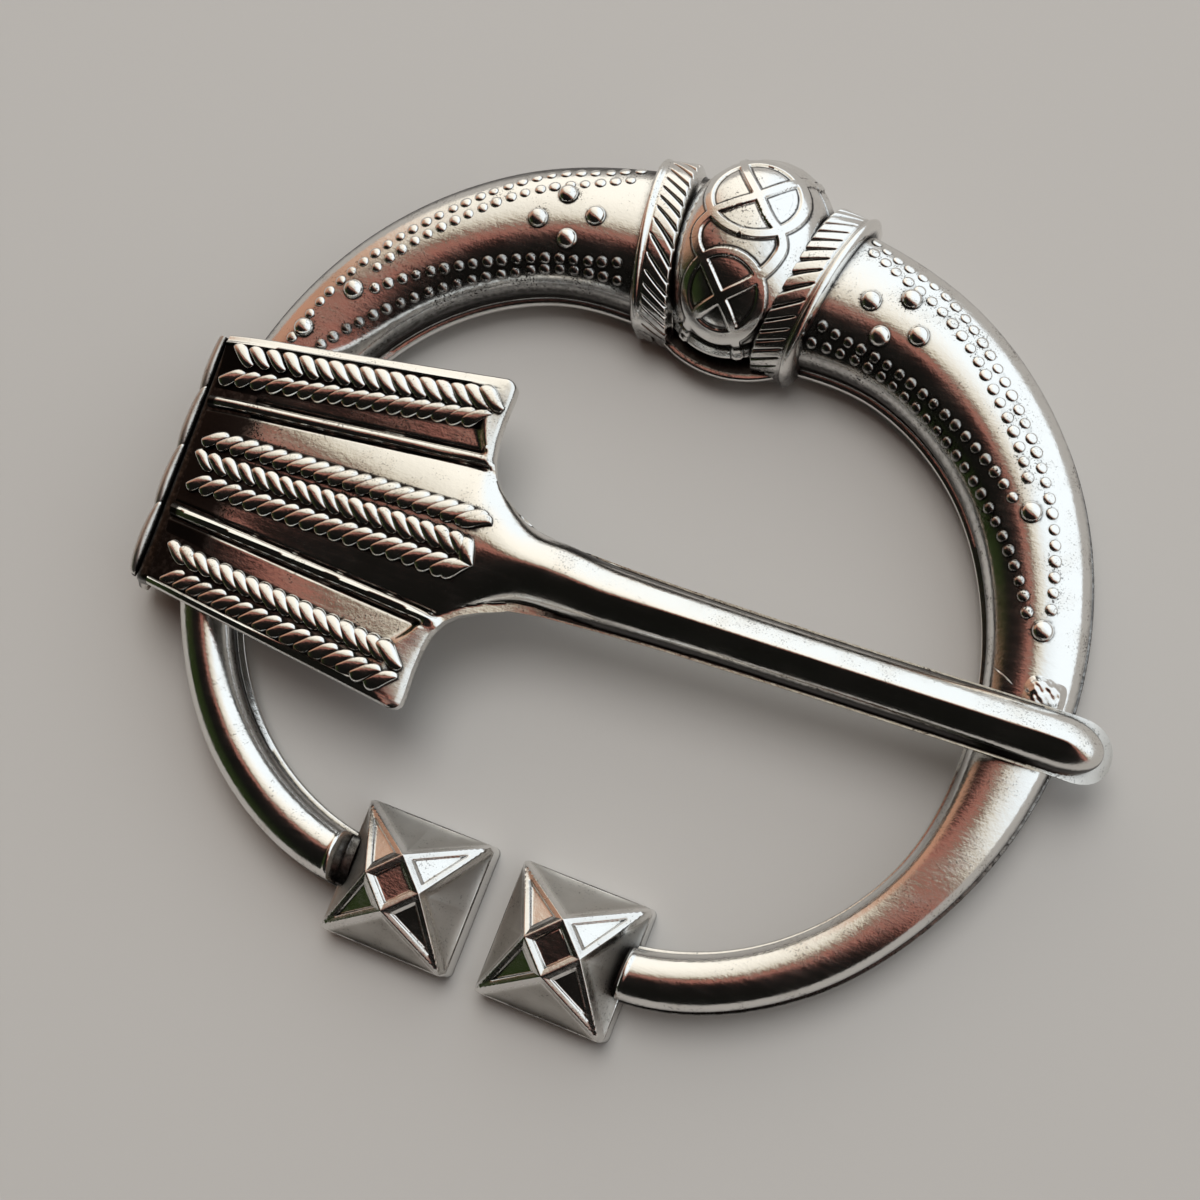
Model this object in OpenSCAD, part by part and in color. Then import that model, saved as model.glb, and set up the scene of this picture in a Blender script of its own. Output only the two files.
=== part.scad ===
// Horseshoe brooch: a cast open ring with a large bead and two star ends, and a pin that wraps the ring.
// +Y points to the bead, +Z out of the face. The brooch lies on the plane z = 0.

/* [Hoop] */
// Outer diameter of the hoop at its widest, mm
hoop_diameter = 66; // [65:0.5:67]
// Thickness of the hoop beside the bead, mm
hoop_thickness = 5.0; // [4.8:0.1:5.1]
// Height of the hoop's back above the table, mm
back_lift = 1.65; // [1.6:0.05:1.75]
// Height of the steep wall at the foot of the hoop, mm
foot_wall = 1.2; // [1:0.1:1.3]

/* [Bead] */
// Length of the bead across the hoop, mm
bead_length = 15; // [14.6:0.1:15.4]
// Width of the bead along the hoop, mm
bead_width = 11.4; // [11:0.2:11.8]
// Height of the bead above the hoop's back, mm
bead_height = 7.2; // [6.8:0.1:7.6]
// Height of the raised bands and rings on the bead, mm
band_relief = 0.3; // [0.25:0.05:0.4]

/* [Star ends] */
// Side of each square end, mm
end_side = 9.7; // [9.4:0.1:10]
// Gap between the two ends, mm
end_gap = 2.3; // [2:0.1:3]
// Height of the star's flat middle above the hoop's back, mm
star_height = 4.25; // [4:0.05:4.6]
// Side of the star's flat middle, mm
star_middle = 2.9; // [2.6:0.1:3.1]

/* [Pellets] */
// Diameter of a large pellet, mm
pellet_diameter = 1.5; // [1.3:0.1:1.6]
// Diameter of a small dot, mm
dot_diameter = 0.84; // [0.7:0.02:0.9]
// Spacing of the small dots along a row, mm
dot_pitch = 1.08; // [1.05:0.01:1.2]

/* [Pin] */
// Length of the pin from the fold's edge to the tip, mm
pin_length = 68.4; // [68:0.1:69]
// Width of the head at the fold, mm
head_width = 17.9; // [17.5:0.1:18.2]
// Width of the head at its inner end, mm
head_flare = 24.4; // [24:0.1:24.8]
// Length of the head, mm
head_length = 21.2; // [21:0.1:21.5]
// Width of the shank, mm
shank_width = 4.3; // [4.1:0.1:4.5]
// Thickness of the shank, mm
shank_thickness = 2.9; // [2.6:0.1:3.1]
// Width of the strap under the hoop, mm
strap_width = 9; // [8:0.5:9.5]

/* [Hidden] */
$fn = 32;
silver = [0.72, 0.71, 0.69];
silver_pin = [0.78, 0.76, 0.73];

// The middle of the ring in the frame, so that the origin is under the middle of the whole brooch.
ring_middle = [-1.395, -1.49];
ring_scale = hoop_diameter / 66;

// Hoop sections, one row each: angle from the bead, inner radius, outer radius, share of the thickness.
INNER = 1;
OUTER = 2;
SHARE = 3;
hoop_table = [
    [0, 18.4, 30.8, 1.00],
    [14, 19.3, 31.1, 1.00],
    [35, 22.2, 32.3, 0.98],
    [55, 24.2, 32.95, 0.92],
    [75, 25.5, 33.0, 0.84],
    [95, 26.7, 32.75, 0.74],
    [115, 27.75, 32.2, 0.68],
    [135, 27.15, 31.45, 0.66],
    [154, 25.3, 29.6, 0.66],
    [162, 24.2, 28.3, 0.66]
];
hoop_end_angle = 162;
hoop_step = 6;
dome_steps = 8;

// Head and shank outline, one row each: distance from the fold's edge, half width, height of the
// underside, thickness in the middle, how far the section is still a plate (1) or already a bar (0).
HALF = 1;
UNDER = 2;
THICK = 3;
PLATE = 4;
head_under = 6.9;
shank_under = 5.85;
crossing_x = 61;
bend_x = pin_length - 4.2;
pin_table = [
    [0, head_width / 2, head_under, 1.25, 1],
    [5, mix(head_width, head_flare, 5 / head_length) / 2, head_under, 1.25, 1],
    [10, mix(head_width, head_flare, 10 / head_length) / 2, head_under, 1.35, 1],
    [15, mix(head_width, head_flare, 15 / head_length) / 2, head_under, 1.5, 1],
    [head_length - 0.6, head_flare / 2 - 0.1, head_under, 1.7, 1],
    [head_length, head_flare / 2 - 0.5, head_under, 1.75, 1],
    [head_length + 0.5, 8.6, head_under, 1.8, 0.95],
    [head_length + 0.9, 6.4, head_under, 1.9, 0.9],
    [head_length + 1.5, 5.15, head_under, 2.0, 0.75],
    [head_length + 2.5, 4.25, head_under - 0.03, 2.2, 0.5],
    [head_length + 3.8, 3.6, head_under - 0.08, 2.4, 0.25],
    [head_length + 5.3, 3.25, head_under - 0.13, 2.6, 0.1],
    [29, 2.9, head_under - 0.23, 2.8, 0],
    [32.5, 2.6, head_under - 0.33, shank_thickness, 0],
    [37, shank_width / 2 + 0.2, head_under - 0.45, shank_thickness, 0],
    [48, shank_width / 2, head_under - 0.75, shank_thickness, 0],
    [crossing_x, shank_width / 2, shank_under, shank_thickness, 0],
    [bend_x, shank_width / 2, shank_under - 0.1, shank_thickness, 0]
];
// Columns of a section across the pin, as shares of its half width.
pin_columns = [0, 0.2, 0.38, 0.445, 0.487, 0.53, 0.72, 0.88, 0.95, 1];
rib_share = 0.487;
rib_relief = 0.5;
rim_relief = 0.4;
field_depth = 0.45;

// The pin's place in the ring's frame: the fold's edge, and the pin's heading.
pin_origin = [-31.5, -2.9];
pin_heading = 2.04;

// The wrap's hollow, in the pin's frame.
hollow_outer_x = -1.75;
hollow_inner_x = 6.8;
strap_thickness = 0.9;
fold_bulge = 2.6;
tongue_thickness = 0.9;
fold_corner = 2.2;

// Interpolation in a table of rows, smooth through the rows.
function mix(a, b, t) = a + (b - a) * t;
function clamp01(t) = min(max(t, 0), 1);
function row_at(table, x, i = 0) =
    i >= len(table) - 2 || x < table[i + 1][0] ? i : row_at(table, x, i + 1);
function row_slope(table, i, c) =
    let (lo = max(i - 1, 0), hi = min(i + 1, len(table) - 1))
    (table[hi][c] - table[lo][c]) / (table[hi][0] - table[lo][0]);
function smooth(table, x, c) =
    let (
        i = row_at(table, x),
        a = table[i],
        b = table[i + 1],
        d = b[0] - a[0],
        t = clamp01((x - a[0]) / d),
        t2 = t * t,
        t3 = t2 * t
    )
    (2 * t3 - 3 * t2 + 1) * a[c] + (t3 - 2 * t2 + t) * d * row_slope(table, i, c)
    + (3 * t2 - 2 * t3) * b[c] + (t3 - t2) * d * row_slope(table, i + 1, c);
function linear(table, x, c) =
    let (
        i = row_at(table, x),
        a = table[i],
        b = table[i + 1],
        t = clamp01((x - a[0]) / (b[0] - a[0]))
    )
    mix(a[c], b[c], t);

// Hoop sizes at an angle from the bead.
function inner_radius(angle) = ring_scale * smooth(hoop_table, angle, INNER);
function outer_radius(angle) = ring_scale * smooth(hoop_table, angle, OUTER);
function middle_radius(angle) = (inner_radius(angle) + outer_radius(angle)) / 2;
function half_width(angle) = (outer_radius(angle) - inner_radius(angle)) / 2;
function thickness(angle) = hoop_thickness * smooth(hoop_table, angle, SHARE);

// A point of the hoop's surface: bearing 0 is the outer edge, 90 the crest, 180 the inner edge.
function around(angle, radius, height) =
    [radius * sin(angle), radius * cos(angle), back_lift + height];
function dome_point(angle, bearing, grow = 0) =
    around(
        angle,
        middle_radius(angle) + (half_width(angle) + grow) * cos(bearing),
        foot_wall + (thickness(angle) - foot_wall + grow) * sin(bearing)
    );
function hoop_section(angle, grow = 0, foot = 0) =
    concat(
        [around(angle, outer_radius(angle) + grow, foot)],
        [for (i = [0 : dome_steps]) dome_point(angle, 180 * i / dome_steps, grow)],
        [around(angle, inner_radius(angle) - grow, foot)]
    );

// A solid through rings of points, closed at both ends.
module loft(rings) {
    n = len(rings[0]);
    m = len(rings);
    polyhedron(
        points = [for (ring = rings) each ring],
        faces = concat(
            [[for (i = [0 : n - 1]) i]],
            [
                for (j = [0 : m - 2], i = [0 : n - 1])
                    let (k = (i + 1) % n)
                    [j * n + k, j * n + i, (j + 1) * n + i]
            ],
            [
                for (j = [0 : m - 2], i = [0 : n - 1])
                    let (k = (i + 1) % n)
                    [j * n + k, (j + 1) * n + i, (j + 1) * n + k]
            ],
            [[for (i = [n - 1 : -1 : 0]) (m - 1) * n + i]]
        ),
        convexity = 6
    );
}

module both_sides() {
    children();
    mirror([1, 0, 0])
        children();
}

module hoop() {
    loft([for (a = [-hoop_end_angle : hoop_step : hoop_end_angle]) signed_section(a)]);
}

// The hoop is the same on both sides, so a negative angle mirrors the section.
function signed_section(a) = [for (p = hoop_section(abs(a))) [sign(a) * abs(p[0]), p[1], p[2]]];

// Pellets and dots sit on the dome, turned to its normal.
module on_dome(angle, bearing) {
    here = dome_point(angle, bearing);
    out = atan2(
        (thickness(angle) - foot_wall) * cos(bearing),
        half_width(angle) * sin(bearing)
    );
    translate(here)
        rotate([0, 0, -angle])
            rotate([-out, 0, 0])
                children();
}

module pellet(angle, bearing) {
    on_dome(angle, bearing)
        translate([0, 0, -0.1 * pellet_diameter])
            sphere(d = pellet_diameter, $fn = 9);
}

dot_height = 0.3;

module dot(angle, bearing) {
    on_dome(angle, bearing)
        translate([0, 0, -0.15])
            cylinder(d1 = dot_diameter * 1.2, d2 = 0, h = 0.15 + dot_height, $fn = 5);
}

// Dot rows: first and last angle, bearing at the first and at the last, stagger as a share of the pitch.
FIRST = 0;
LAST = 1;
BEARING_FIRST = 2;
BEARING_LAST = 3;
STAGGER = 4;
dot_rows = [
    [19, 77, 22, 60, 0],
    [19, 66, 38, 66, 0.5],
    [20, 77, 156, 112, 0],
    [20, 60, 138, 118, 0.5]
];
// Large pellets: angle from the bead and bearing on the dome. The last one is nearer to the bead on the left.
pellets = [[27.6, 62], [27.6, 112], [23.4, 88], [32.2, 88], [62.2, 86]];
last_pellet_left = [71, 84];
last_pellet_right = [77.5, 84];

module dots(row) {
    radius = middle_radius(50) + half_width(50) * cos(row[BEARING_FIRST]);
    step = dot_pitch / radius * 180 / PI;
    span = row[LAST] - row[FIRST];
    for (a = [row[FIRST] + row[STAGGER] * step : step : row[LAST]])
        dot(a, mix(row[BEARING_FIRST], row[BEARING_LAST], (a - row[FIRST]) / span));
}

// The bead: a dome across the hoop on a foot that stands on the table.
bead_middle = 25.4;
bead_foot = 1.9;
foot_step = 0.12;
bead_steps = 24;

module bead() {
    translate([0, bead_middle * ring_scale, 0]) {
        intersection() {
            translate([0, 0, back_lift])
                resize([bead_width, bead_length, 2 * bead_height])
                    sphere(d = 2, $fn = bead_steps);
            translate([-bead_width, -bead_length, back_lift])
                cube([2 * bead_width, 2 * bead_length, 2 * bead_height]);
        }
        resize([bead_width - foot_step, bead_length - foot_step, back_lift + bead_foot])
            cylinder(d = 2, h = 1, $fn = bead_steps);
    }
}

// A thin flange runs round the bead's inner end.
bead_flange_radius = 17.5;
bead_flange_depth = 2.5;
bead_flange_height = 0.8;
bead_flange_lift = 0.12;
bead_flange_angle = 13;

module bead_flange() {
    rotate([0, 0, 90 - bead_flange_angle])
        rotate_extrude(angle = 2 * bead_flange_angle, $fn = 72)
            translate([ring_scale * bead_flange_radius, back_lift + bead_flange_lift])
                square([bead_flange_depth, bead_flange_height]);
}

// Interlaced rings with crosses run over the bead.
function bead_top(x, y) =
    back_lift + bead_height * sqrt(max(1 - pow(2 * x / bead_width, 2) - pow(2 * y / bead_length, 2), 0));
function bead_point(x, y) = [x, bead_middle * ring_scale + y, bead_top(x, y)];
// Rings on the bead: offset from its middle, radius, number of crossing bars.
OFFSET = 0;
RADIUS = 1;
BARS = 2;
wheel_table = [
    [3.2, 3.15, 2],
    [-0.5, 3.2, 0],
    [-4.3, 2.6, 2]
];
wheel_steps = 12;
bar_angles = [33, 123];

module stroke(a, b) {
    hull() {
        translate(a)
            cylinder(d1 = 3 * band_relief, d2 = band_relief, h = 2 * band_relief, $fn = 4, center = true);
        translate(b)
            cylinder(d1 = 3 * band_relief, d2 = band_relief, h = 2 * band_relief, $fn = 4, center = true);
    }
}

module wheel(row) {
    for (i = [0 : wheel_steps - 1])
        stroke(wheel_point(row, 360 * i / wheel_steps, 1), wheel_point(row, 360 * (i + 1) / wheel_steps, 1));
    for (i = [0 : 1 : row[BARS] - 1], s = [-1, 1], t = [0, 0.5])
        stroke(wheel_point(row, bar_angles[i], s * t), wheel_point(row, bar_angles[i], s * (t + 0.5)));
}
function wheel_point(row, angle, share) =
    bead_point(row[RADIUS] * share * cos(angle), row[OFFSET] + row[RADIUS] * share * sin(angle));

// Collars on both sides of the bead: a band with slanted cuts between two plain lips.
collar_from = 10;
collar_to = 17;
collar_overlap = 1;
collar_rise = 0.75;
collar_foot_share = 0.12;
lip_rise = 1.15;
lip_span = 1.3;
lip_step = 0.3;
cut_count = 12;
cut_first = 8;
cut_span = 164;
cut_lean = 5;

module collar_ring(from, to, rise) {
    loft([for (a = [from, (from + to) / 2, to]) collar_section(a, rise)]);
}
function collar_section(a, rise) = hoop_section(a, rise, -rise * collar_foot_share);

module collar() {
    collar_ring(collar_from - collar_overlap, collar_to - lip_step, collar_rise);
    collar_ring(collar_to - lip_span, collar_to, lip_rise);
    for (i = [1 : cut_count])
        stroke_on_collar(cut_first + cut_span * (i - 0.5) / cut_count);
}

module stroke_on_collar(bearing) {
    stroke(
        dome_point(collar_from + lip_step, bearing + cut_lean, collar_rise),
        dome_point(collar_to - lip_span, bearing - cut_lean, collar_rise)
    );
}

// A square end: a foot, a steep edge and a star whose points reach the corners.
end_edge = 0.5;
star_tip = 1.05;
star_inset = 0.45;
end_corner = 0.7;
end_middle = [(end_gap + end_side) / 2, -25.07 * ring_scale];
rim_size = 0.42;

module star_end() {
    translate([end_middle[0], end_middle[1], 0]) {
        hull()
            for (x = [-1, 1], y = [-1, 1])
                translate([x, y, 0] * (end_side / 2 - end_corner))
                    cylinder(r = end_corner, h = back_lift + end_edge, $fn = 12);
        star();
        for (q = [0 : 3])
            rotate([0, 0, 90 * q])
                star_rims();
    }
}

// Corners of the flat middle point at the sides of the square, its sides face the corners.
star_half = star_middle / sqrt(2);
star_reach = end_side / 2 - star_inset;
star_top = back_lift + star_height;
star_low = back_lift + star_tip;
star_edge = back_lift + end_edge;
function star_corner(q) = [star_half * cos(90 * q), star_half * sin(90 * q), star_top];
function star_point(q) =
    [star_reach * sqrt(2) * cos(90 * q + 45), star_reach * sqrt(2) * sin(90 * q + 45), star_low];
function star_side(q) =
    [(star_reach - 0.1) * cos(90 * q), (star_reach - 0.1) * sin(90 * q), star_edge];
function star_under(q) =
    [star_reach * sqrt(2) * cos(90 * q + 45), star_reach * sqrt(2) * sin(90 * q + 45), back_lift];

module star() {
    top = [for (q = [0 : 3]) star_corner(q)];
    tips = [for (q = [0 : 3]) star_point(q)];
    sides = [for (q = [0 : 3]) star_side(q)];
    feet = [for (q = [0 : 3]) star_under(q)];
    polyhedron(
        points = concat(top, tips, sides, feet),
        faces = concat(
            [[3, 2, 1, 0]],
            [for (q = [0 : 3]) [q, (q + 1) % 4, 4 + q]],
            [for (q = [0 : 3]) [q, 4 + q, 8 + q]],
            [for (q = [0 : 3]) [(q + 1) % 4, 8 + (q + 1) % 4, 4 + q]],
            [for (q = [0 : 3]) [4 + q, 12 + q, 8 + q]],
            [for (q = [0 : 3]) [4 + q, 8 + (q + 1) % 4, 12 + q]],
            [for (q = [0 : 3]) [8 + (q + 1) % 4, 12 + (q + 1) % 4, 12 + q]],
            [[12, 13, 14, 15]]
        )
    );
}

module rim(a, b) {
    hull() {
        translate(a)
            cylinder(d1 = 2 * rim_size, d2 = rim_size / 2, h = rim_size, $fn = 4, center = true);
        translate(b)
            cylinder(d1 = 2 * rim_size, d2 = rim_size / 2, h = rim_size, $fn = 4, center = true);
    }
}

module star_rims() {
    rim(star_corner(0), star_corner(1));
    rim(star_corner(0), star_point(0));
    rim(star_corner(1), star_point(0));
}

// The cast ring: hoop, bead, collars, ends and relief in one solid.
module ring() {
    color(silver)
        translate([ring_middle[0], ring_middle[1], 0]) {
            hoop();
            bead();
            bead_flange();
            for (row = wheel_table)
                wheel(row);
            both_sides() {
                collar();
                star_end();
                for (p = pellets)
                    pellet(p[0], p[1]);
                for (row = dot_rows)
                    dots(row);
            }
            pellet(last_pellet_right[0], last_pellet_right[1]);
            mirror([1, 0, 0])
                pellet(last_pellet_left[0], last_pellet_left[1]);
        }
}

// Height of the pin's top over its underside, at a share of the half width, on the plate.
function bump(v, middle, width) = max(0, 1 - pow((v - middle) / width, 2));
function plate_top(v, thick) =
    thick - field_depth * clamp01((v - 0.30) / 0.12)
    + rib_relief * bump(v, rib_share, 0.05)
    + rim_relief * clamp01((v - 0.88) / 0.07)
    - 0.25 * clamp01((v - 0.97) / 0.03);
// On the shank it is a round bar on a thin flange.
flange = 0.45;
function bar_top(v, thick) = v > 0.95 ? flange : flange + (thick - flange) * sqrt(1 - pow(v / 0.98, 2));
function top_at(x, v) =
    let (thick = linear(pin_table, x, THICK), plate = linear(pin_table, x, PLATE))
    mix(bar_top(v, thick), plate_top(v, thick), plate);
function pin_section(x) =
    let (half = linear(pin_table, x, HALF), under = linear(pin_table, x, UNDER), n = len(pin_columns))
    concat(
        [for (i = [n - 1 : -1 : 0]) [x, half * pin_columns[i], under + top_at(x, pin_columns[i])]],
        [for (i = [1 : n - 1]) [x, -half * pin_columns[i], under + top_at(x, pin_columns[i])]],
        [[x, -half, under], [x, half, under]]
    );

// The tip bends down outside the hoop, one row each: distance past the bend, drop, turn about the
// pin's side and share of the shank's size.
PAST = 0;
DROP = 1;
TURN = 2;
SIZE = 3;
tip_table = [
    [0, 0.1, 0, 1],
    [1.1, 0.3, 14, 1],
    [2.0, 0.9, 34, 0.96],
    [2.45, 1.7, 56, 0.86],
    [2.6, 2.5, 74, 0.66],
    [2.5, 3.0, 84, 0.3]
];
function tip_section(row) =
    let (
        half = shank_width / 2 * row[SIZE],
        thick = shank_thickness * mix(1, row[SIZE], 0.55),
        x = bend_x + row[PAST],
        z = shank_under - row[DROP],
        n = len(pin_columns)
    )
    [
        for (p = concat(
            [for (i = [n - 1 : -1 : 0]) [half * pin_columns[i], bar_top(pin_columns[i], thick)]],
            [for (i = [1 : n - 1]) [-half * pin_columns[i], bar_top(pin_columns[i], thick)]],
            [[-half, 0], [half, 0]]
        ))
            [x + p[1] * sin(row[TURN]), p[0], z + p[1] * cos(row[TURN])]
    ];

section_steps = [
    for (i = [0 : len(pin_table) - 2], s = [0, 0.5])
        mix(pin_table[i][0], pin_table[i + 1][0], s)
];

module bar() {
    loft(concat([for (x = section_steps) pin_section(x)], [for (row = tip_table) tip_section(row)]));
}

// Ropes, one row each: half-width share at the fold and at the inner end, lean of the strands.
AT_FOLD = 0;
AT_END = 1;
LEAN = 2;
rope_table = [
    [0.885, 0.815, -32],
    [0.70, 0.72, 32],
    [0.165, 0.135, 30],
    [0.0, 0.0, -30],
    [-0.165, -0.135, 30],
    [-0.70, -0.72, -32],
    [-0.885, -0.815, 32]
];
rope_from = 0.7;
rope_to = 20;
strand_pitch = 1.2;
strand_length = 2.1;
strand_width = 1.05;
strand_height = 0.55;
strand_sunk = 0.25;

module strand() {
    hull() {
        scale([strand_length / 2, strand_width / 2, 1])
            cylinder(r = 1, h = 0.1, $fn = 4);
        scale([strand_length / 3.6, strand_width / 7, 1])
            cylinder(r = 1, h = strand_sunk + strand_height, $fn = 4);
    }
}

module rope(row) {
    count = floor((rope_to - rope_from) / strand_pitch);
    for (i = [0 : count - 1])
        let (
            t = (i + 0.5) / count,
            x = mix(rope_from, rope_to, t),
            v = mix(row[AT_FOLD], row[AT_END], t),
            half = linear(pin_table, x, HALF)
        )
        translate([x, v * half, head_under + top_at(x, abs(v)) - strand_sunk])
            rotate([0, 0, row[LEAN]])
                strand();
}

// The fold and the strap: a band bent round the hoop, and a strap that closes it below.
module rounded_box_2d(low, high, radius) {
    translate([low[0] + radius, low[1]])
        square([high[0] - low[0] - 2 * radius, high[1] - low[1]]);
    translate([low[0], low[1] + radius])
        square([high[0] - low[0], high[1] - low[1] - 2 * radius]);
    for (x = [low[0] + radius, high[0] - radius], y = [low[1] + radius, high[1] - radius])
        translate([x, y])
            circle(r = radius);
}

hollow_top = head_under - 0.12;
wrap_top = head_under + 0.83;
wrap_width = head_width - 0.25;
side_cut_x = 0.3;

module wrap() {
    difference() {
        rotate([90, 0, 0])
            linear_extrude(height = wrap_width, center = true)
                difference() {
                    rounded_box_2d(
                        [-fold_bulge, 0],
                        [hollow_inner_x + tongue_thickness, wrap_top],
                        fold_corner
                    );
                    rounded_box_2d(
                        [hollow_outer_x, strap_thickness],
                        [hollow_inner_x, hollow_top],
                        fold_corner - strap_thickness
                    );
                }
        for (s = [-1, 1])
            translate([side_cut_x, s * strap_width / 2 - (s < 0 ? head_width : 0), -1])
                cube([head_length, head_width, wrap_top + 0.6]);
    }
}

// The twisted cord along the fold's outer face.
twist_count = 4;
twist_size = 1.5;
twist_rise = 0.35;
twist_drop = 2.2;
twist_lean = 1.1;

module fold_twist() {
    pitch = head_width / twist_count;
    for (i = [0 : twist_count - 1])
        translate([twist_rise - fold_bulge, (i + 0.5) * pitch - head_width / 2, head_under - twist_drop])
            hull()
                for (s = [-1, 1])
                    translate([0, s * (pitch - twist_size) / 2, -s * twist_lean])
                        sphere(d = twist_size, $fn = 8);
}

// The pin: head, shank, tip, wrap and relief in one solid.
module pin() {
    color(silver_pin)
        translate([ring_middle[0] + pin_origin[0], ring_middle[1] + pin_origin[1], 0])
            rotate([0, 0, pin_heading]) {
                bar();
                wrap();
                fold_twist();
                for (row = rope_table)
                    rope(row);
            }
}

ring();
pin();
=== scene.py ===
"""Horseshoe brooch: the cast ring and its pin, dressed in antiqued silver plate."""

import logging
import math
from dataclasses import dataclass, field
from enum import Enum

import bmesh
import bpy
import numpy as np
from mathutils import Matrix, Vector


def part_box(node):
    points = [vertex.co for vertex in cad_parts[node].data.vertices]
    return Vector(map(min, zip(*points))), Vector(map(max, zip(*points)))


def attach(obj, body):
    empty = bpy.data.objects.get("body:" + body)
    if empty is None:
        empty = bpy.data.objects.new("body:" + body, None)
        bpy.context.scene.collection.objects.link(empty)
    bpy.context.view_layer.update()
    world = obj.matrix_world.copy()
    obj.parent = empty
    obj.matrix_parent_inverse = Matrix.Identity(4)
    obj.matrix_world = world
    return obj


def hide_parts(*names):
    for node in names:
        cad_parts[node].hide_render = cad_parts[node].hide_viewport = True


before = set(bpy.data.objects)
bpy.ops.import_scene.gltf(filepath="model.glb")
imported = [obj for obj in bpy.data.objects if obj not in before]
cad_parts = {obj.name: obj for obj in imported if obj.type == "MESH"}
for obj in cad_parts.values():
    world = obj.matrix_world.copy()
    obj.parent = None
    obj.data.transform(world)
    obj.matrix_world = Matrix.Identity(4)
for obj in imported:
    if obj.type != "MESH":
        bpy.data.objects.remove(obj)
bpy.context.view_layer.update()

MM = 0.001
# points that are nearer than this become one, in millimetres, and edges that turn further than this are sharp
MERGE_GAP = 0.0005
SHARP_TURN = math.radians(48)
LOG = logging.getLogger("brooch")


# Names of the two castings, their finishes and the two sides
class Casting(Enum):
    """The two castings, by the name of their body and node in the frame."""

    RING = "ring"
    PIN = "pin"


class Slot(Enum):
    """The record's material slots."""

    RING_SILVER = "ring_silver"
    PIN_SILVER = "pin_silver"


class Side(Enum):
    """The two arms of the hoop, seen with the bead at the top."""

    LEFT = -1
    RIGHT = 1


# Smooth tables and profiles
def flow(table: list[tuple[float, ...]], at: np.ndarray, column: int) -> np.ndarray:
    """Reads a column of a table on a smooth curve through its rows.

    Args:
        table: rows that start with their position, in rising order.
        at: positions to read.
        column: index of the column to read.

    Returns:
        The column's value at each position, held at both ends of the table.
    """
    rows = np.array(table, float)
    place = rows[:, 0]
    value = rows[:, column]
    slope = np.gradient(value, place)
    held = np.clip(np.asarray(at, float), place[0], place[-1])
    i = np.clip(np.searchsorted(place, held, side="right") - 1, 0, len(rows) - 2)
    gap = place[i + 1] - place[i]
    t = (held - place[i]) / gap
    a = (2 * t**3 - 3 * t**2 + 1) * value[i] + (t**3 - 2 * t**2 + t) * gap * slope[i]
    b = (3 * t**2 - 2 * t**3) * value[i + 1] + (t**3 - t**2) * gap * slope[i + 1]
    return a + b


def ease(low: float, high: float, x: np.ndarray) -> np.ndarray:
    """Rises smoothly from 0 where x is low to 1 where x is high."""
    t = np.clip((np.asarray(x, float) - low) / (high - low), 0.0, 1.0)
    return t * t * (3 - 2 * t)


def line(table: list[tuple[float, ...]], at: np.ndarray, column: int) -> np.ndarray:
    """Reads a column of a table on straight lines between its rows."""
    rows = np.array(table, float)
    return np.interp(np.asarray(at, float), rows[:, 0], rows[:, column])


def hill(x: np.ndarray, width: float) -> np.ndarray:
    """A smooth hill of height 1 round x = 0."""
    return np.exp(-((np.asarray(x, float) / width) ** 2))


def distance_to_path(x: np.ndarray, y: np.ndarray, path: np.ndarray) -> np.ndarray:
    """Distance from points in a plane to a path of straight pieces.

    Args:
        x: first coordinates of the points, of any shape.
        y: second coordinates of the points, of the same shape.
        path: corners of the path, one row each.

    Returns:
        The distance from each point to the nearest piece of the path.
    """
    best = np.full(x.shape, np.inf)
    for a, b in zip(path[:-1], path[1:]):
        run = b - a
        size = max(float(run @ run), 1e-12)
        t = np.clip(((x - a[0]) * run[0] + (y - a[1]) * run[1]) / size, 0.0, 1.0)
        best = np.minimum(best, np.hypot(x - a[0] - t * run[0], y - a[1] - t * run[1]))
    return best


def walls(rim: np.ndarray, shares: tuple[float, ...]) -> list[np.ndarray]:
    """Rows of points straight below a rim, at shares of its height over the table."""
    return [rim * np.array([1.0, 1.0, share]) for share in shares]


# Meshes in the making
@dataclass(frozen=True)
class Bench:
    """Where a casting's own millimetre frame sits in the brooch's frame."""

    x: float
    y: float
    heading: float

    def matrix(self) -> Matrix:
        """The move from the casting's frame to the brooch's frame, in millimetres."""
        return Matrix.Translation((self.x, self.y, 0)) @ Matrix.Rotation(self.heading, 4, "Z")


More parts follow.
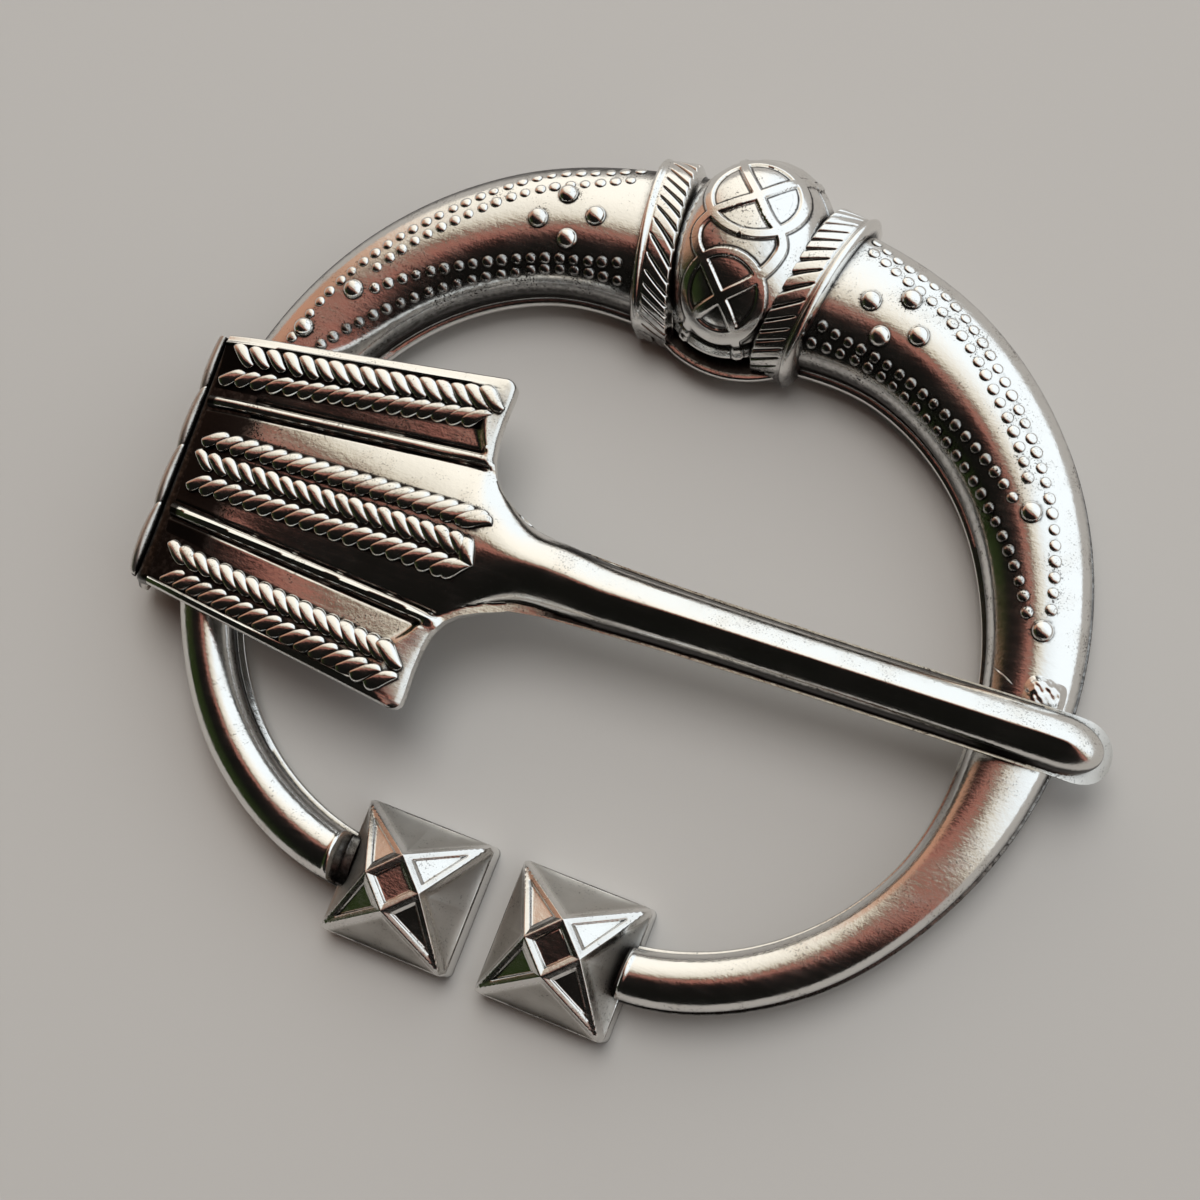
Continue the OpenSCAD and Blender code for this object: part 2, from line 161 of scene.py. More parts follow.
@dataclass
class Wax:
    """A mesh in the making: points in millimetres, faces, and how dark each point is, from patina in a hollow
    and from painted shade.
    """

    points: list[np.ndarray] = field(default_factory=list)
    hollows: list[np.ndarray] = field(default_factory=list)
    faces: list[tuple[int, ...]] = field(default_factory=list)
    count: int = 0

    def add(self, points: np.ndarray, hollow: np.ndarray | float) -> int:
        """Adds points with their patina and painted shade.

        Args:
            points: the points, in an array whose last axis is x, y and z.
            hollow: darkness for each point, from patina in a hollow and from painted shade, or one value.

        Returns:
            The index of the first of the new points.
        """
        flat = np.asarray(points, float).reshape(-1, 3)
        first = self.count
        self.points.append(flat)
        self.hollows.append(np.broadcast_to(np.asarray(hollow, float).ravel(), (len(flat),)).copy())
        self.count += len(flat)
        return first

    def sheet(
        self, points: np.ndarray, hollow: np.ndarray | float = 0.0, ring: bool = False, caps: bool = False
    ) -> int:
        """Adds a grid of four-sided faces.

        Args:
            points: the grid's points, rows by columns by 3.
            hollow: darkness for each point, from patina in a hollow and from painted shade, or one value.
            ring: whether the last column joins the first.
            caps: whether the first and the last row are closed.

        Returns:
            The index of the grid's first point.
        """
        rows, columns = points.shape[:2]
        first = self.add(points, hollow)
        across = columns if ring else columns - 1
        for i in range(rows - 1):
            for j in range(across):
                k = (j + 1) % columns
                a = first + i * columns
                self.faces.append((a + j, a + k, a + columns + k, a + columns + j))
        if caps:
            self.faces.append(tuple(first + j for j in range(columns)))
            last = first + (rows - 1) * columns
            self.faces.append(tuple(last + j for j in reversed(range(columns))))
        return first

    @classmethod
    def closed(cls, points: np.ndarray, hollow: np.ndarray) -> "Wax":
        """Makes a mesh of one grid that closes round its columns and at both ends.

        Args:
            points: the grid's points, rows by columns by 3.
            hollow: darkness for each point, from patina in a hollow and from painted shade.

        Returns:
            The mesh in the making.
        """
        wax = cls()
        wax.sheet(points, hollow, ring=True, caps=True)
        return wax

    def cast(self, name: str, bench: Bench, finish: "AntiquedSilver", casting: Casting) -> bpy.types.Object:
        """Turns the wax into an object that rides with its casting.

        Args:
            name: the piece's name.
            bench: where the casting's own frame sits.
            finish: the finish that it gets.
            casting: the body that it rides on.

        Returns:
            The new object.
        """
        mesh = bpy.data.meshes.new(name)
        points = np.concatenate(self.points)
        mesh.from_pydata(points.tolist(), [], self.faces)
        patina_and_shade_level = mesh.attributes.new("hollow", "FLOAT", "POINT")
        patina_and_shade_level.data.foreach_set("value", np.concatenate(self.hollows).astype(np.float32))
        work = bmesh.new()
        work.from_mesh(mesh)
        bmesh.ops.remove_doubles(work, verts=work.verts, dist=MERGE_GAP)
        bmesh.ops.recalc_face_normals(work, faces=work.faces)
        bmesh.ops.transform(work, matrix=Matrix.Scale(MM, 4) @ bench.matrix(), verts=work.verts)
        work.to_mesh(mesh)
        work.free()
        mesh.polygons.foreach_set("use_smooth", [True] * len(mesh.polygons))
        mesh.set_sharp_from_angle(angle=SHARP_TURN)
        mesh.materials.append(finish.material())
        piece = bpy.data.objects.new(name, mesh)
        bpy.context.scene.collection.objects.link(piece)
        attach(piece, casting.value)
        LOG.info("%s: %d points, %d faces", name, len(mesh.vertices), len(mesh.polygons))
        return piece


# Finish
@dataclass
class NodeBoard:
    """A material's or world's node tree with short calls for making and linking nodes."""

    tree: bpy.types.NodeTree

    def node(self, kind: str, **settings: object) -> bpy.types.Node:
        """Adds a node and sets its own settings.

        Args:
            kind: the node's type.
            **settings: names and values of its settings.

        Returns:
            The new node.
        """
        made = self.tree.nodes.new(kind)
        for key, value in settings.items():
            setattr(made, key, value)
        return made

    def feed(self, target: bpy.types.NodeSocket, value: object) -> None:
        """Links a socket to the target, or sets the target's own value.

        Args:
            target: the input to fill.
            value: an output socket, a number or a colour.
        """
        if isinstance(value, bpy.types.NodeSocket):
            self.tree.links.new(value, target)
        else:
            target.default_value = value

    def math(self, operation: str, a: object, b: object = 0.0, c: object = 0.0) -> bpy.types.NodeSocket:
        """Adds a math node.

        Args:
            operation: the node's operation.
            a: first value or socket.
            b: second value or socket.
            c: third value or socket, which only some operations read.

        Returns:
            The result's socket.
        """
        made = self.node("ShaderNodeMath", operation=operation)
        self.feed(made.inputs[0], a)
        self.feed(made.inputs[1], b)
        self.feed(made.inputs[2], c)
        return made.outputs[0]

    def span(
        self, value: object, low: float, high: float, to_low: float, to_high: float
    ) -> bpy.types.NodeSocket:
        """Maps a value smoothly from one span to another, held at both ends.

        Args:
            value: the value or socket to map.
            low: start of its span.
            high: end of its span.
            to_low: result at the start.
            to_high: result at the end.

        Returns:
            The result's socket.
        """
        made = self.node("ShaderNodeMapRange", interpolation_type="SMOOTHSTEP")
        for socket, given in zip(made.inputs[:5], (value, low, high, to_low, to_high)):
            self.feed(socket, given)
        return made.outputs[0]

    def noise(self, where: object, scale: float, detail: float) -> bpy.types.NodeSocket:
        """Adds a noise texture.

        Args:
            where: socket of the coordinates.
            scale: how many lumps it has in a metre.
            detail: how many finer layers it has.

        Returns:
            The socket of its grey value.
        """
        made = self.node("ShaderNodeTexNoise")
        self.feed(made.inputs["Vector"], where)
        self.feed(made.inputs["Scale"], scale)
        self.feed(made.inputs["Detail"], detail)
        return made.outputs["Fac"]

    def blend(self, share: object, a: object, b: object) -> bpy.types.NodeSocket:
        """Mixes two colours.

        Args:
            share: share of the second colour.
            a: first colour.
            b: second colour.

        Returns:
            The result's socket.
        """
        made = self.node("ShaderNodeMix", data_type="RGBA")
        # the node's sockets for colours come after those for its other kinds of data
        self.feed(made.inputs[0], share)
        self.feed(made.inputs[6], a)
        self.feed(made.inputs[7], b)
        return made.outputs[2]

    def stretched(
        self, where: object, scale: tuple[float, float, float], turn: float
    ) -> bpy.types.NodeSocket:
        """Scales and turns coordinates, so that a noise read there runs in streaks.

        Args:
            where: socket of the coordinates.
            scale: scale along each axis.
            turn: turn about the vertical, in radians.

        Returns:
            The socket of the new coordinates.
        """
        made = self.node("ShaderNodeMapping")
        self.feed(made.inputs["Vector"], where)
        self.feed(made.inputs["Scale"], scale)
        self.feed(made.inputs["Rotation"], (0.0, 0.0, turn))
        return made.outputs["Vector"]


@dataclass(frozen=True)
class AntiquedSilver:
    """Silver plate: dark in the hollows, polished on the high parts, matt where the polishing left it.

    The hollow of a point is up to 1 where it is dark, from patina in a hollow and from painted shade alike, 0
    where polished and down to -1 where matt as cast.
    """

    name: str
    slot: Slot
    silver: tuple[float, float, float, float]
    tarnish: tuple[float, float, float, float]
    warm: tuple[float, float, float, float]
    polish: float
    dull: float
    grain: float
    streak_turn: float
    skin: tuple[float, float, float, float] = (0.50, 0.475, 0.44, 1.0)
    skin_dull: float = 0.36
    # lumps in a metre: stains, fine grain, specks, and streaks along, across and up the casting
    stain_scale: float = 420.0
    grain_scale: float = 2600.0
    speck_scale: float = 7000.0
    streak_scale: tuple[float, float, float] = (260.0, 5200.0, 1500.0)
    # how far a crevice darkens its sides and how high the grain stands, in millimetres
    crevice_reach: float = 0.9
    grain_height: float = 0.06

    def material(self) -> bpy.types.Material:
        """The finish's material, made once."""
        return bpy.data.materials.get(self.name) or self.mix()

    def mix(self) -> bpy.types.Material:
        """Mixes the material from noises, each point's patina and painted shade, and the crevices.

        Returns:
            The new material.
        """
        made = bpy.data.materials.new(self.name)
        made.use_nodes = True
        board = NodeBoard(made.node_tree)
        metal = made.node_tree.nodes["Principled BSDF"]
        where = board.node("ShaderNodeTexCoord").outputs["Object"]
        # the mesh attribute brings patina in hollows together with painted shade on steep sides, feet and
        # junctions
        patina_and_shade_level = board.node("ShaderNodeAttribute", attribute_name="hollow").outputs["Fac"]
        shade = board.node("ShaderNodeAmbientOcclusion", samples=6)
        shade.inputs["Distance"].default_value = self.crevice_reach * MM
        cloud = board.noise(where, self.stain_scale, 5.0)
        fine = board.noise(where, self.grain_scale, 4.0)
        speck = board.noise(where, self.speck_scale, 2.0)
        streak = board.noise(board.stretched(where, self.streak_scale, self.streak_turn), 1.0, 3.0)
        crevice = board.span(shade.outputs["AO"], 0.42, 0.86, 1.0, 0.0)
        down = board.math("MAXIMUM", patina_and_shade_level, crevice)
        broken = board.math("ADD", down, board.span(fine, 0.3, 0.7, -0.06, 0.06))
        pits = board.math("MULTIPLY", speck, board.span(cloud, 0.35, 0.65, 0.8, 1.15))
        broken = board.math("ADD", broken, board.span(pits, 0.6, 0.72, 0.0, 0.42))
        tarnished = board.span(broken, 0.16, 0.86, 0.0, 1.0)
        stained = board.span(cloud, 0.5, 0.78, 0.0, 0.32)
        as_cast = board.span(patina_and_shade_level, 0.0, -1.0, 0.0, 1.0)
        polished = board.blend(stained, self.silver, self.warm)
        skin_share = board.math("MULTIPLY", as_cast, board.span(cloud, 0.3, 0.7, 0.8, 1.0))
        bright = board.blend(skin_share, polished, self.skin)
        board.feed(metal.inputs["Base Color"], board.blend(tarnished, bright, self.tarnish))
        metal.inputs["Metallic"].default_value = 1.0
        rubbed = board.span(streak, 0.35, 0.75, self.polish, self.polish + 0.06)
        patchy = board.math("ADD", rubbed, board.span(cloud, 0.35, 0.7, -0.02, 0.05))
        smooth = board.math("MAXIMUM", patchy, board.math("MULTIPLY", tarnished, self.dull))
        board.feed(metal.inputs["Roughness"], board.math("MULTIPLY_ADD", as_cast, self.skin_dull, smooth))
        relief = board.math("ADD", board.math("MULTIPLY", fine, 0.7), board.math("MULTIPLY", speck, 0.3))
        relief = board.math("ADD", relief, board.math("MULTIPLY", streak, 0.25))
        bump = board.node("ShaderNodeBump")
        bump.inputs["Strength"].default_value = self.grain
        bump.inputs["Distance"].default_value = self.grain_height * MM
        board.feed(bump.inputs["Height"], relief)
        board.feed(metal.inputs["Normal"], bump.outputs["Normal"])
        return made


RING_SILVER = AntiquedSilver(
    name="ring_antiqued_silver",
    slot=Slot.RING_SILVER,
    silver=(0.80, 0.785, 0.76, 1.0),
    tarnish=(0.035, 0.031, 0.029, 1.0),
    warm=(0.66, 0.60, 0.52, 1.0),
    polish=0.13,
    dull=0.36,
    grain=0.24,
    streak_turn=0.5,
)
PIN_SILVER = AntiquedSilver(
    name="pin_antiqued_silver",
    slot=Slot.PIN_SILVER,
    silver=(0.79, 0.775, 0.745, 1.0),
    tarnish=(0.032, 0.028, 0.026, 1.0),
    warm=(0.68, 0.61, 0.52, 1.0),
    polish=0.12,
    dull=0.34,
    grain=0.22,
    streak_turn=1.6,
)


# The ring's shapes
@dataclass
class HoopForm:
    """The hoop's form: its radii and thickness at an angle from the bead, and points on its dome."""

    back_lift: float = 1.65
    thickness: float = 5.0
    foot_wall: float = 1.2
    # angle from the bead, inner radius, outer radius, share of the thickness
    rows: list[tuple[float, ...]] = field(
        default_factory=lambda: [
            (0, 18.4, 30.8, 1.00),
            (14, 19.3, 31.1, 1.00),
            (35, 22.2, 32.3, 0.98),
            (55, 24.2, 32.95, 0.92),
            (75, 25.5, 33.0, 0.84),
            (95, 26.7, 32.75, 0.74),
            (115, 27.75, 32.2, 0.68),
            (135, 27.15, 31.45, 0.66),
            (154, 25.3, 29.6, 0.66),
            (162, 24.2, 28.3, 0.66),
        ]
    )

    def inner(self, angle: np.ndarray) -> np.ndarray:
        """Inner radius at an angle from the bead."""
        return flow(self.rows, np.abs(angle), 1)

    def outer(self, angle: np.ndarray) -> np.ndarray:
        """Outer radius at an angle from the bead."""
        return flow(self.rows, np.abs(angle), 2)

    def section(self, angle: np.ndarray) -> tuple[np.ndarray, np.ndarray]:
        """Middle radius and half width at an angle from the bead."""
        inner, outer = self.inner(angle), self.outer(angle)
        return (outer + inner) / 2, (outer - inner) / 2

    def thick(self, angle: np.ndarray) -> np.ndarray:
        """Thickness at an angle from the bead."""
        return self.thickness * flow(self.rows, np.abs(angle), 3)

    def place(self, angle: np.ndarray, radius: np.ndarray, height: np.ndarray) -> np.ndarray:
        """Points at an angle, a radius and a height.

        Args:
            angle: angle from the bead, in degrees, negative on the left arm.
            radius: distance from the hoop's centre.
            height: height above the hoop's back.

        Returns:
            The points, in millimetres in the ring's frame.
        """
        turn = np.radians(angle)
        lift = np.asarray(height, float) + self.back_lift
        parts = np.broadcast_arrays(radius * np.sin(turn), radius * np.cos(turn), lift)
        return np.stack(parts, axis=-1)

    def dome(self, angle: np.ndarray, bearing: np.ndarray, grow: np.ndarray | float = 0.0) -> np.ndarray:
        """Points on the dome.

        Args:
            angle: angle from the bead, in degrees, negative on the left arm.
            bearing: 0 at the outer edge, 90 on the crest, 180 at the inner edge.
            grow: distance outside the dome.

        Returns:
            The points, in millimetres in the ring's frame.
        """
        middle, half = self.section(angle)
        turn = np.radians(bearing)
        radius = middle + (half + grow) * np.cos(turn)
        height = self.foot_wall + (self.thick(angle) - self.foot_wall + grow) * np.sin(turn)
        return self.place(angle, radius, height)

    def outward(self, angle: float, bearing: float) -> np.ndarray:
        """The direction straight out of the dome.

        Args:
            angle: angle from the bead, in degrees.
            bearing: bearing on the dome, in degrees.

        Returns:
            A vector of length 1.
        """
        half = float(self.section(angle)[1])
        rise = float(self.thick(angle)) - self.foot_wall
        turn = math.radians(bearing)
        flat = rise * math.cos(turn)
        up = half * math.sin(turn)
        size = math.hypot(flat, up)
        side = math.radians(angle)
        return np.array([flat * math.sin(side), flat * math.cos(side), up]) / size


@dataclass
class Granules:
    """The rows of small dots and the large pellets on both arms."""

    form: HoopForm
    pitch: float = 1.08
    dot_radius: float = 0.43
    dot_height: float = 0.27
    pellet_radius: float = 0.76
    pellet_height: float = 0.6
    # numbers of rings and of points in a ring
    dot_steps: tuple[int, int] = (6, 12)
    pellet_steps: tuple[int, int] = (12, 28)
    # how uneven the dots are: share of their size, degrees along the hoop and across it
    uneven_size: float = 0.07
    uneven_angle: float = 0.06
    uneven_bearing: float = 0.5
    # where a granule's curve starts below the dome and its width is held, as shares of a quarter turn
    root: float = 0.25
    waist: float = 0.2
    # how dark the hoop is beside a granule, and how far out
    shadow_depth: float = 0.62
    shadow_reach: float = 0.24
    # bearing on the dome, share of the dots' height, darkness at a dot's foot, darkness on its top, which on
    # the inner rows is painted shade
    tone_rows: list[tuple[float, ...]] = field(
        default_factory=lambda: [(45, 0.55, 0.45, 0.0), (85, 0.7, 0.55, 0.0), (115, 1.0, 1.0, 0.56)]
    )
    # one list a row of dots: angle from the bead, bearing on the dome
    dot_rows: list[list[tuple[float, float]]] = field(
        default_factory=lambda: [
            [(17.5, 33), (21, 40.5), (29, 44.5), (36, 53), (45, 62.5), (55, 67), (65, 70), (75.1, 77.5)],
            [(18.5, 49), (23.4, 56.5), (29.6, 61), (37, 68), (45, 76), (51, 79), (57.5, 83)],
            [
                (20, 120), (25, 124), (31, 125), (38, 124.3),
                (45, 120.5), (51.3, 114), (55.5, 108), (59.7, 101),
            ],
            [(20, 135), (30, 135), (40, 137.5), (49, 135), (56, 130), (63, 122), (69.3, 112), (75.7, 101.5)],
        ]
    )
    pellets: list[tuple[float, float]] = field(
        default_factory=lambda: [(27.4, 70), (28.4, 108), (23.4, 87.5), (32.4, 91), (62.2, 88)]
    )
    # the pellet farthest from the bead on each arm
    last_pellet: dict[Side, tuple[float, float]] = field(
        default_factory=lambda: {Side.RIGHT: (78.0, 85.0), Side.LEFT: (71.0, 80.0)}
    )

    def dot_places(self) -> list[tuple[float, float]]:
        """Spaces the dots evenly along their rows.

        Returns:
            Angle and bearing of every dot on both arms.
        """
        found = []
        for row in self.dot_rows:
            fine = np.linspace(row[0][0], row[-1][0], 400)
            bearing = flow(row, fine, 1)
            track = self.form.dome(fine, bearing)
            run = np.concatenate([[0.0], np.cumsum(np.linalg.norm(np.diff(track, axis=0), axis=1))])
            steps = np.linspace(0, run[-1], int(round(run[-1] / self.pitch)) + 1)
            for angle, lean in zip(np.interp(steps, run, fine), np.interp(steps, run, bearing)):
                found += [(float(angle), float(lean)), (-float(angle), float(lean))]
        return found

    def pellet_places(self) -> list[tuple[float, float]]:
        """Angle and bearing of every large pellet on both arms."""
        found = [(side.value * angle, bearing) for side in Side for angle, bearing in self.pellets]
        return found + [(side.value * self.last_pellet[side][0], self.last_pellet[side][1]) for side in Side]

    def grain(
        self,
        wax: Wax,
        place: tuple[float, float],
        size: tuple[float, float],
        tone: tuple[float, float],
        steps: tuple[int, int],
    ) -> None:
        """Adds one granule to the wax.

        Args:
            wax: the mesh in the making.
            place: angle from the bead and bearing on the dome.
            size: the granule's radius and how far it stands out of the dome.
            tone: darkness at its foot and on its top.
            steps: number of rings and of points in a ring.
        """
        here = self.form.dome(np.array(place[0]), np.array(place[1]))
        out = self.form.outward(*place)
        side = np.cross(out, [0.0, 0.0, 1.0])
        side = side / np.linalg.norm(side) if np.linalg.norm(side) > 1e-3 else np.array([1.0, 0.0, 0.0])
        along = np.cross(out, side)
        rise = np.linspace(-self.root, 1.0, steps[0])
        turn = np.linspace(0, 2 * np.pi, steps[1], endpoint=False)
        wide = size[0] * np.cos(np.clip(rise, -self.waist, 1.0) * np.pi / 2) ** 0.8
        tall = size[1] * np.sin(rise * np.pi / 2)
        circle = np.cos(turn)[None, :, None] * side + np.sin(turn)[None, :, None] * along
        points = here + wide[:, None, None] * circle + tall[:, None, None] * out
        foot = ease(0.3, -0.05, rise)[:, None]
        hollow = np.repeat(tone[1] + (tone[0] - tone[1]) * foot, steps[1], axis=1)
        wax.sheet(points, hollow, ring=True)

    def shadow(self, points: np.ndarray) -> np.ndarray:
        """How dark the hoop is beside the granules, for points of the hoop.

        Args:
            points: points of the hoop, rows by columns by 3.

        Returns:
            A depth for each point, highest right beside a granule and 0 away from all of them.
        """
        flat = points.reshape(-1, 3)
        dark = np.zeros(len(flat))
        dots = [(place, self.dot_radius, self.tone(place[1])[0]) for place in self.dot_places()]
        pellets = [(place, self.pellet_radius, 1.0) for place in self.pellet_places()]
        for (angle, bearing), radius, tone in dots + pellets:
            here = self.form.dome(np.array(angle), np.array(bearing))
            reach = radius + self.shadow_reach
            near = np.flatnonzero(np.abs(flat[:, 0] - here[0]) < reach)
            gap = np.linalg.norm(flat[near] - here, axis=1)
            patina_and_shade_level = self.shadow_depth * tone
            dark[near] = np.maximum(dark[near], patina_and_shade_level * ease(reach, radius - 0.02, gap))
        return dark.reshape(points.shape[:2])

    def tone(self, bearing: float) -> tuple[float, float]:
        """Darkness at the foot and on the top of a dot at a bearing on the dome."""
        return float(line(self.tone_rows, bearing, 2)), float(line(self.tone_rows, bearing, 3))

    def build(self, bench: Bench) -> None:
        """Builds the dots and the pellets as two pieces.

        Args:
            bench: where the ring's frame sits.
        """
        dots = Wax()
        for number, (angle, bearing) in enumerate(self.dot_places()):
            uneven = 1 + self.uneven_size * math.sin(2.3 * number)
            aside = self.uneven_angle * math.sin(1.7 * number)
            lower = self.uneven_bearing * math.cos(3.1 * number)
            height = self.dot_height * float(line(self.tone_rows, bearing, 1))
            size = (self.dot_radius * uneven, height * uneven)
            self.grain(dots, (angle + aside, bearing + lower), size, self.tone(bearing), self.dot_steps)
        dots.cast("hoop_dots", bench, RING_SILVER, Casting.RING)
        pellets = Wax()
        size = (self.pellet_radius, self.pellet_height)
        for place in self.pellet_places():
            self.grain(pellets, place, size, (1.0, 0.0), self.pellet_steps)
        pellets.cast("hoop_pellets", bench, RING_SILVER, Casting.RING)


@dataclass
class Hoop:
    """The open hoop: a dome on a low foot with a thin flange on both sides."""

    form: HoopForm
    granules: Granules
    # angle where the rows start to turn into the plane of the square end's side, and angle of that side
    end_zone: float = 146.0
    end_angle: float = 157.0
    # distances from the middle of the brooch: the last row, then the notch's foot and edge on each arm
    end_last: float = 10.3
    left_notch: tuple[float, float] = (10.95, 11.25)
    right_notch: tuple[float, float] = (10.4, 10.8)
    end_share: float = 0.36
    arm_steps: int = 250
    end_steps: int = 64
    dome_steps: int = 72
    inner_flange: float = 0.5
    outer_flange: float = 0.28
    flange_height: float = 0.5
    # painted shade on the outer flange, and patina with painted shade in the crease above both flanges
    flange_painted_shade: float = 0.66
    crease_patina_and_shade: float = 0.9

    def build(self, bench: Bench) -> bpy.types.Object:
        """Builds the hoop.

        Args:
            bench: where the ring's frame sits.

        Returns:
            The hoop's object.
        """
        bearing = np.linspace(0, 180, self.dome_steps)[None, :]
        angle = self.angles(bearing)
        dome = self.form.dome(angle, bearing)
        # 99 stands for points that are far from the square ends
        from_middle = np.where(np.abs(angle) > 120, np.abs(dome[..., 0]), 99.0)
        low_edge = np.where(angle < 0, self.left_notch[0], self.right_notch[0])
        full_edge = np.where(angle < 0, self.left_notch[1], self.right_notch[1])
        near_end = ease(0.0, 1.0, (full_edge - from_middle) / (full_edge - low_edge))
        lip = 0.1 * hill(from_middle - full_edge - 0.16, 0.13) * np.sin(np.radians(bearing))
        sunk = 1 - (1 - self.end_share) * near_end
        dome[..., 2] = self.form.back_lift + (dome[..., 2] - self.form.back_lift) * sunk + lip
        low = (1 - np.sin(np.radians(bearing))) ** 3
        pull = low * np.where(bearing < 90, -self.outer_flange, self.inner_flange)
        turn = np.radians(angle)
        dome[..., 0] += pull * np.sin(turn)
        dome[..., 1] += pull * np.cos(turn)
        outside, inside = angle[:, :1], angle[:, -1:]
        outer, inner = self.form.outer(outside), self.form.inner(inside)
        top, wide, narrow = self.flange_height, self.inner_flange, self.outer_flange
        wall, corner, crease = top - 0.12, top - 0.02, top + 0.1
        # how far each line of a flange lies in from the edge, and its height
        outer_lines = [(0.0, 0.0), (0.0, wall), (0.08, corner), (narrow - 0.06, top), (narrow, crease)]
        inner_lines = [(wide, crease), (wide - 0.08, top), (0.1, corner), (0.0, wall), (0.0, 0.0)]
        outer_foot = [self.form.place(outside, outer - inset, height) for inset, height in outer_lines]
        inner_foot = [self.form.place(inside, inner + inset, height) for inset, height in inner_lines]
        points = np.concatenate(outer_foot + [dome] + inner_foot, axis=1)
        hollow = np.zeros(points.shape[:2])
        hollow[:, 5:-5] = np.maximum(self.granules.shadow(dome), self.painted_shade_and_patina(angle, bearing, near_end))
        hollow[:, 1:4] = self.flange_painted_shade
        hollow[:, [4, -5]] = self.crease_patina_and_shade
        # painted shade: the dome's steep outer foot and its inner wall get darker towards the bottom,
        # standing in for dark surroundings mirrored there instead of the pale floor
        hollow[:, 5:9] = np.maximum(hollow[:, 5:9], np.linspace(0.8, 0.0, 4))
        hollow[:, -11:-5] = np.maximum(hollow[:, -11:-5], np.linspace(0.0, 0.9, 6))
        return Wax.closed(points, hollow).cast("hoop", bench, RING_SILVER, Casting.RING)

    def angles(self, bearing: np.ndarray) -> np.ndarray:
        """Angles of the rows, which turn into the plane of a square end's side near each end.

        Args:
            bearing: bearing of each column.

        Returns:
            The angle of each point, rows by columns.
        """
        arm = np.linspace(0, self.end_zone, self.arm_steps)[:, None] + 0 * bearing
        middle, half = self.form.section(self.end_angle)
        radius = middle + half * np.cos(np.radians(bearing))
        last = 180 - np.degrees(np.arcsin(self.end_last / radius))
        end = self.end_zone + (last - self.end_zone) * np.linspace(0, 1, self.end_steps)[1:, None] ** 0.8
        right = np.concatenate([arm, end])
        return np.concatenate([-right[:0:-1], right])

    def painted_shade_and_patina(self, angle: np.ndarray, bearing: np.ndarray, near_end: np.ndarray) -> np.ndarray:
        """Painted shade on the hoop's steep sides, more of it on the outer side of the left arm's upper part,
        painted shadow in the notch beside each square end, and patina with painted shade among the inner rows
        of dots.

        Args:
            angle: angle from the bead.
            bearing: bearing on the dome.
            near_end: 1 in the notch beside a square end, 0 away from it.

        Returns:
            A darkness for each point, on the same scale as the patina.
        """
        # painted shade on the steep outer and inner sides, and more on the outer side of the left arm's upper
        # part
        left_top = ease(-98, -82, angle) * (angle < 0)
        outer_side = np.maximum(0.62 * ease(38, 12, bearing), 0.8 * ease(50, 30, bearing) * left_top)
        inner_side = 0.8 * ease(140, 166, bearing)
        # patina among the inner rows of dots, with painted shade on that part of the inner slope
        dotted = 0.42 * ease(108, 126, bearing) * ease(78, 60, np.abs(angle))
        # painted shadow in the notch where the hoop meets a square end
        return np.maximum.reduce([outer_side, inner_side + 0 * angle, dotted, 0.7 * near_end])


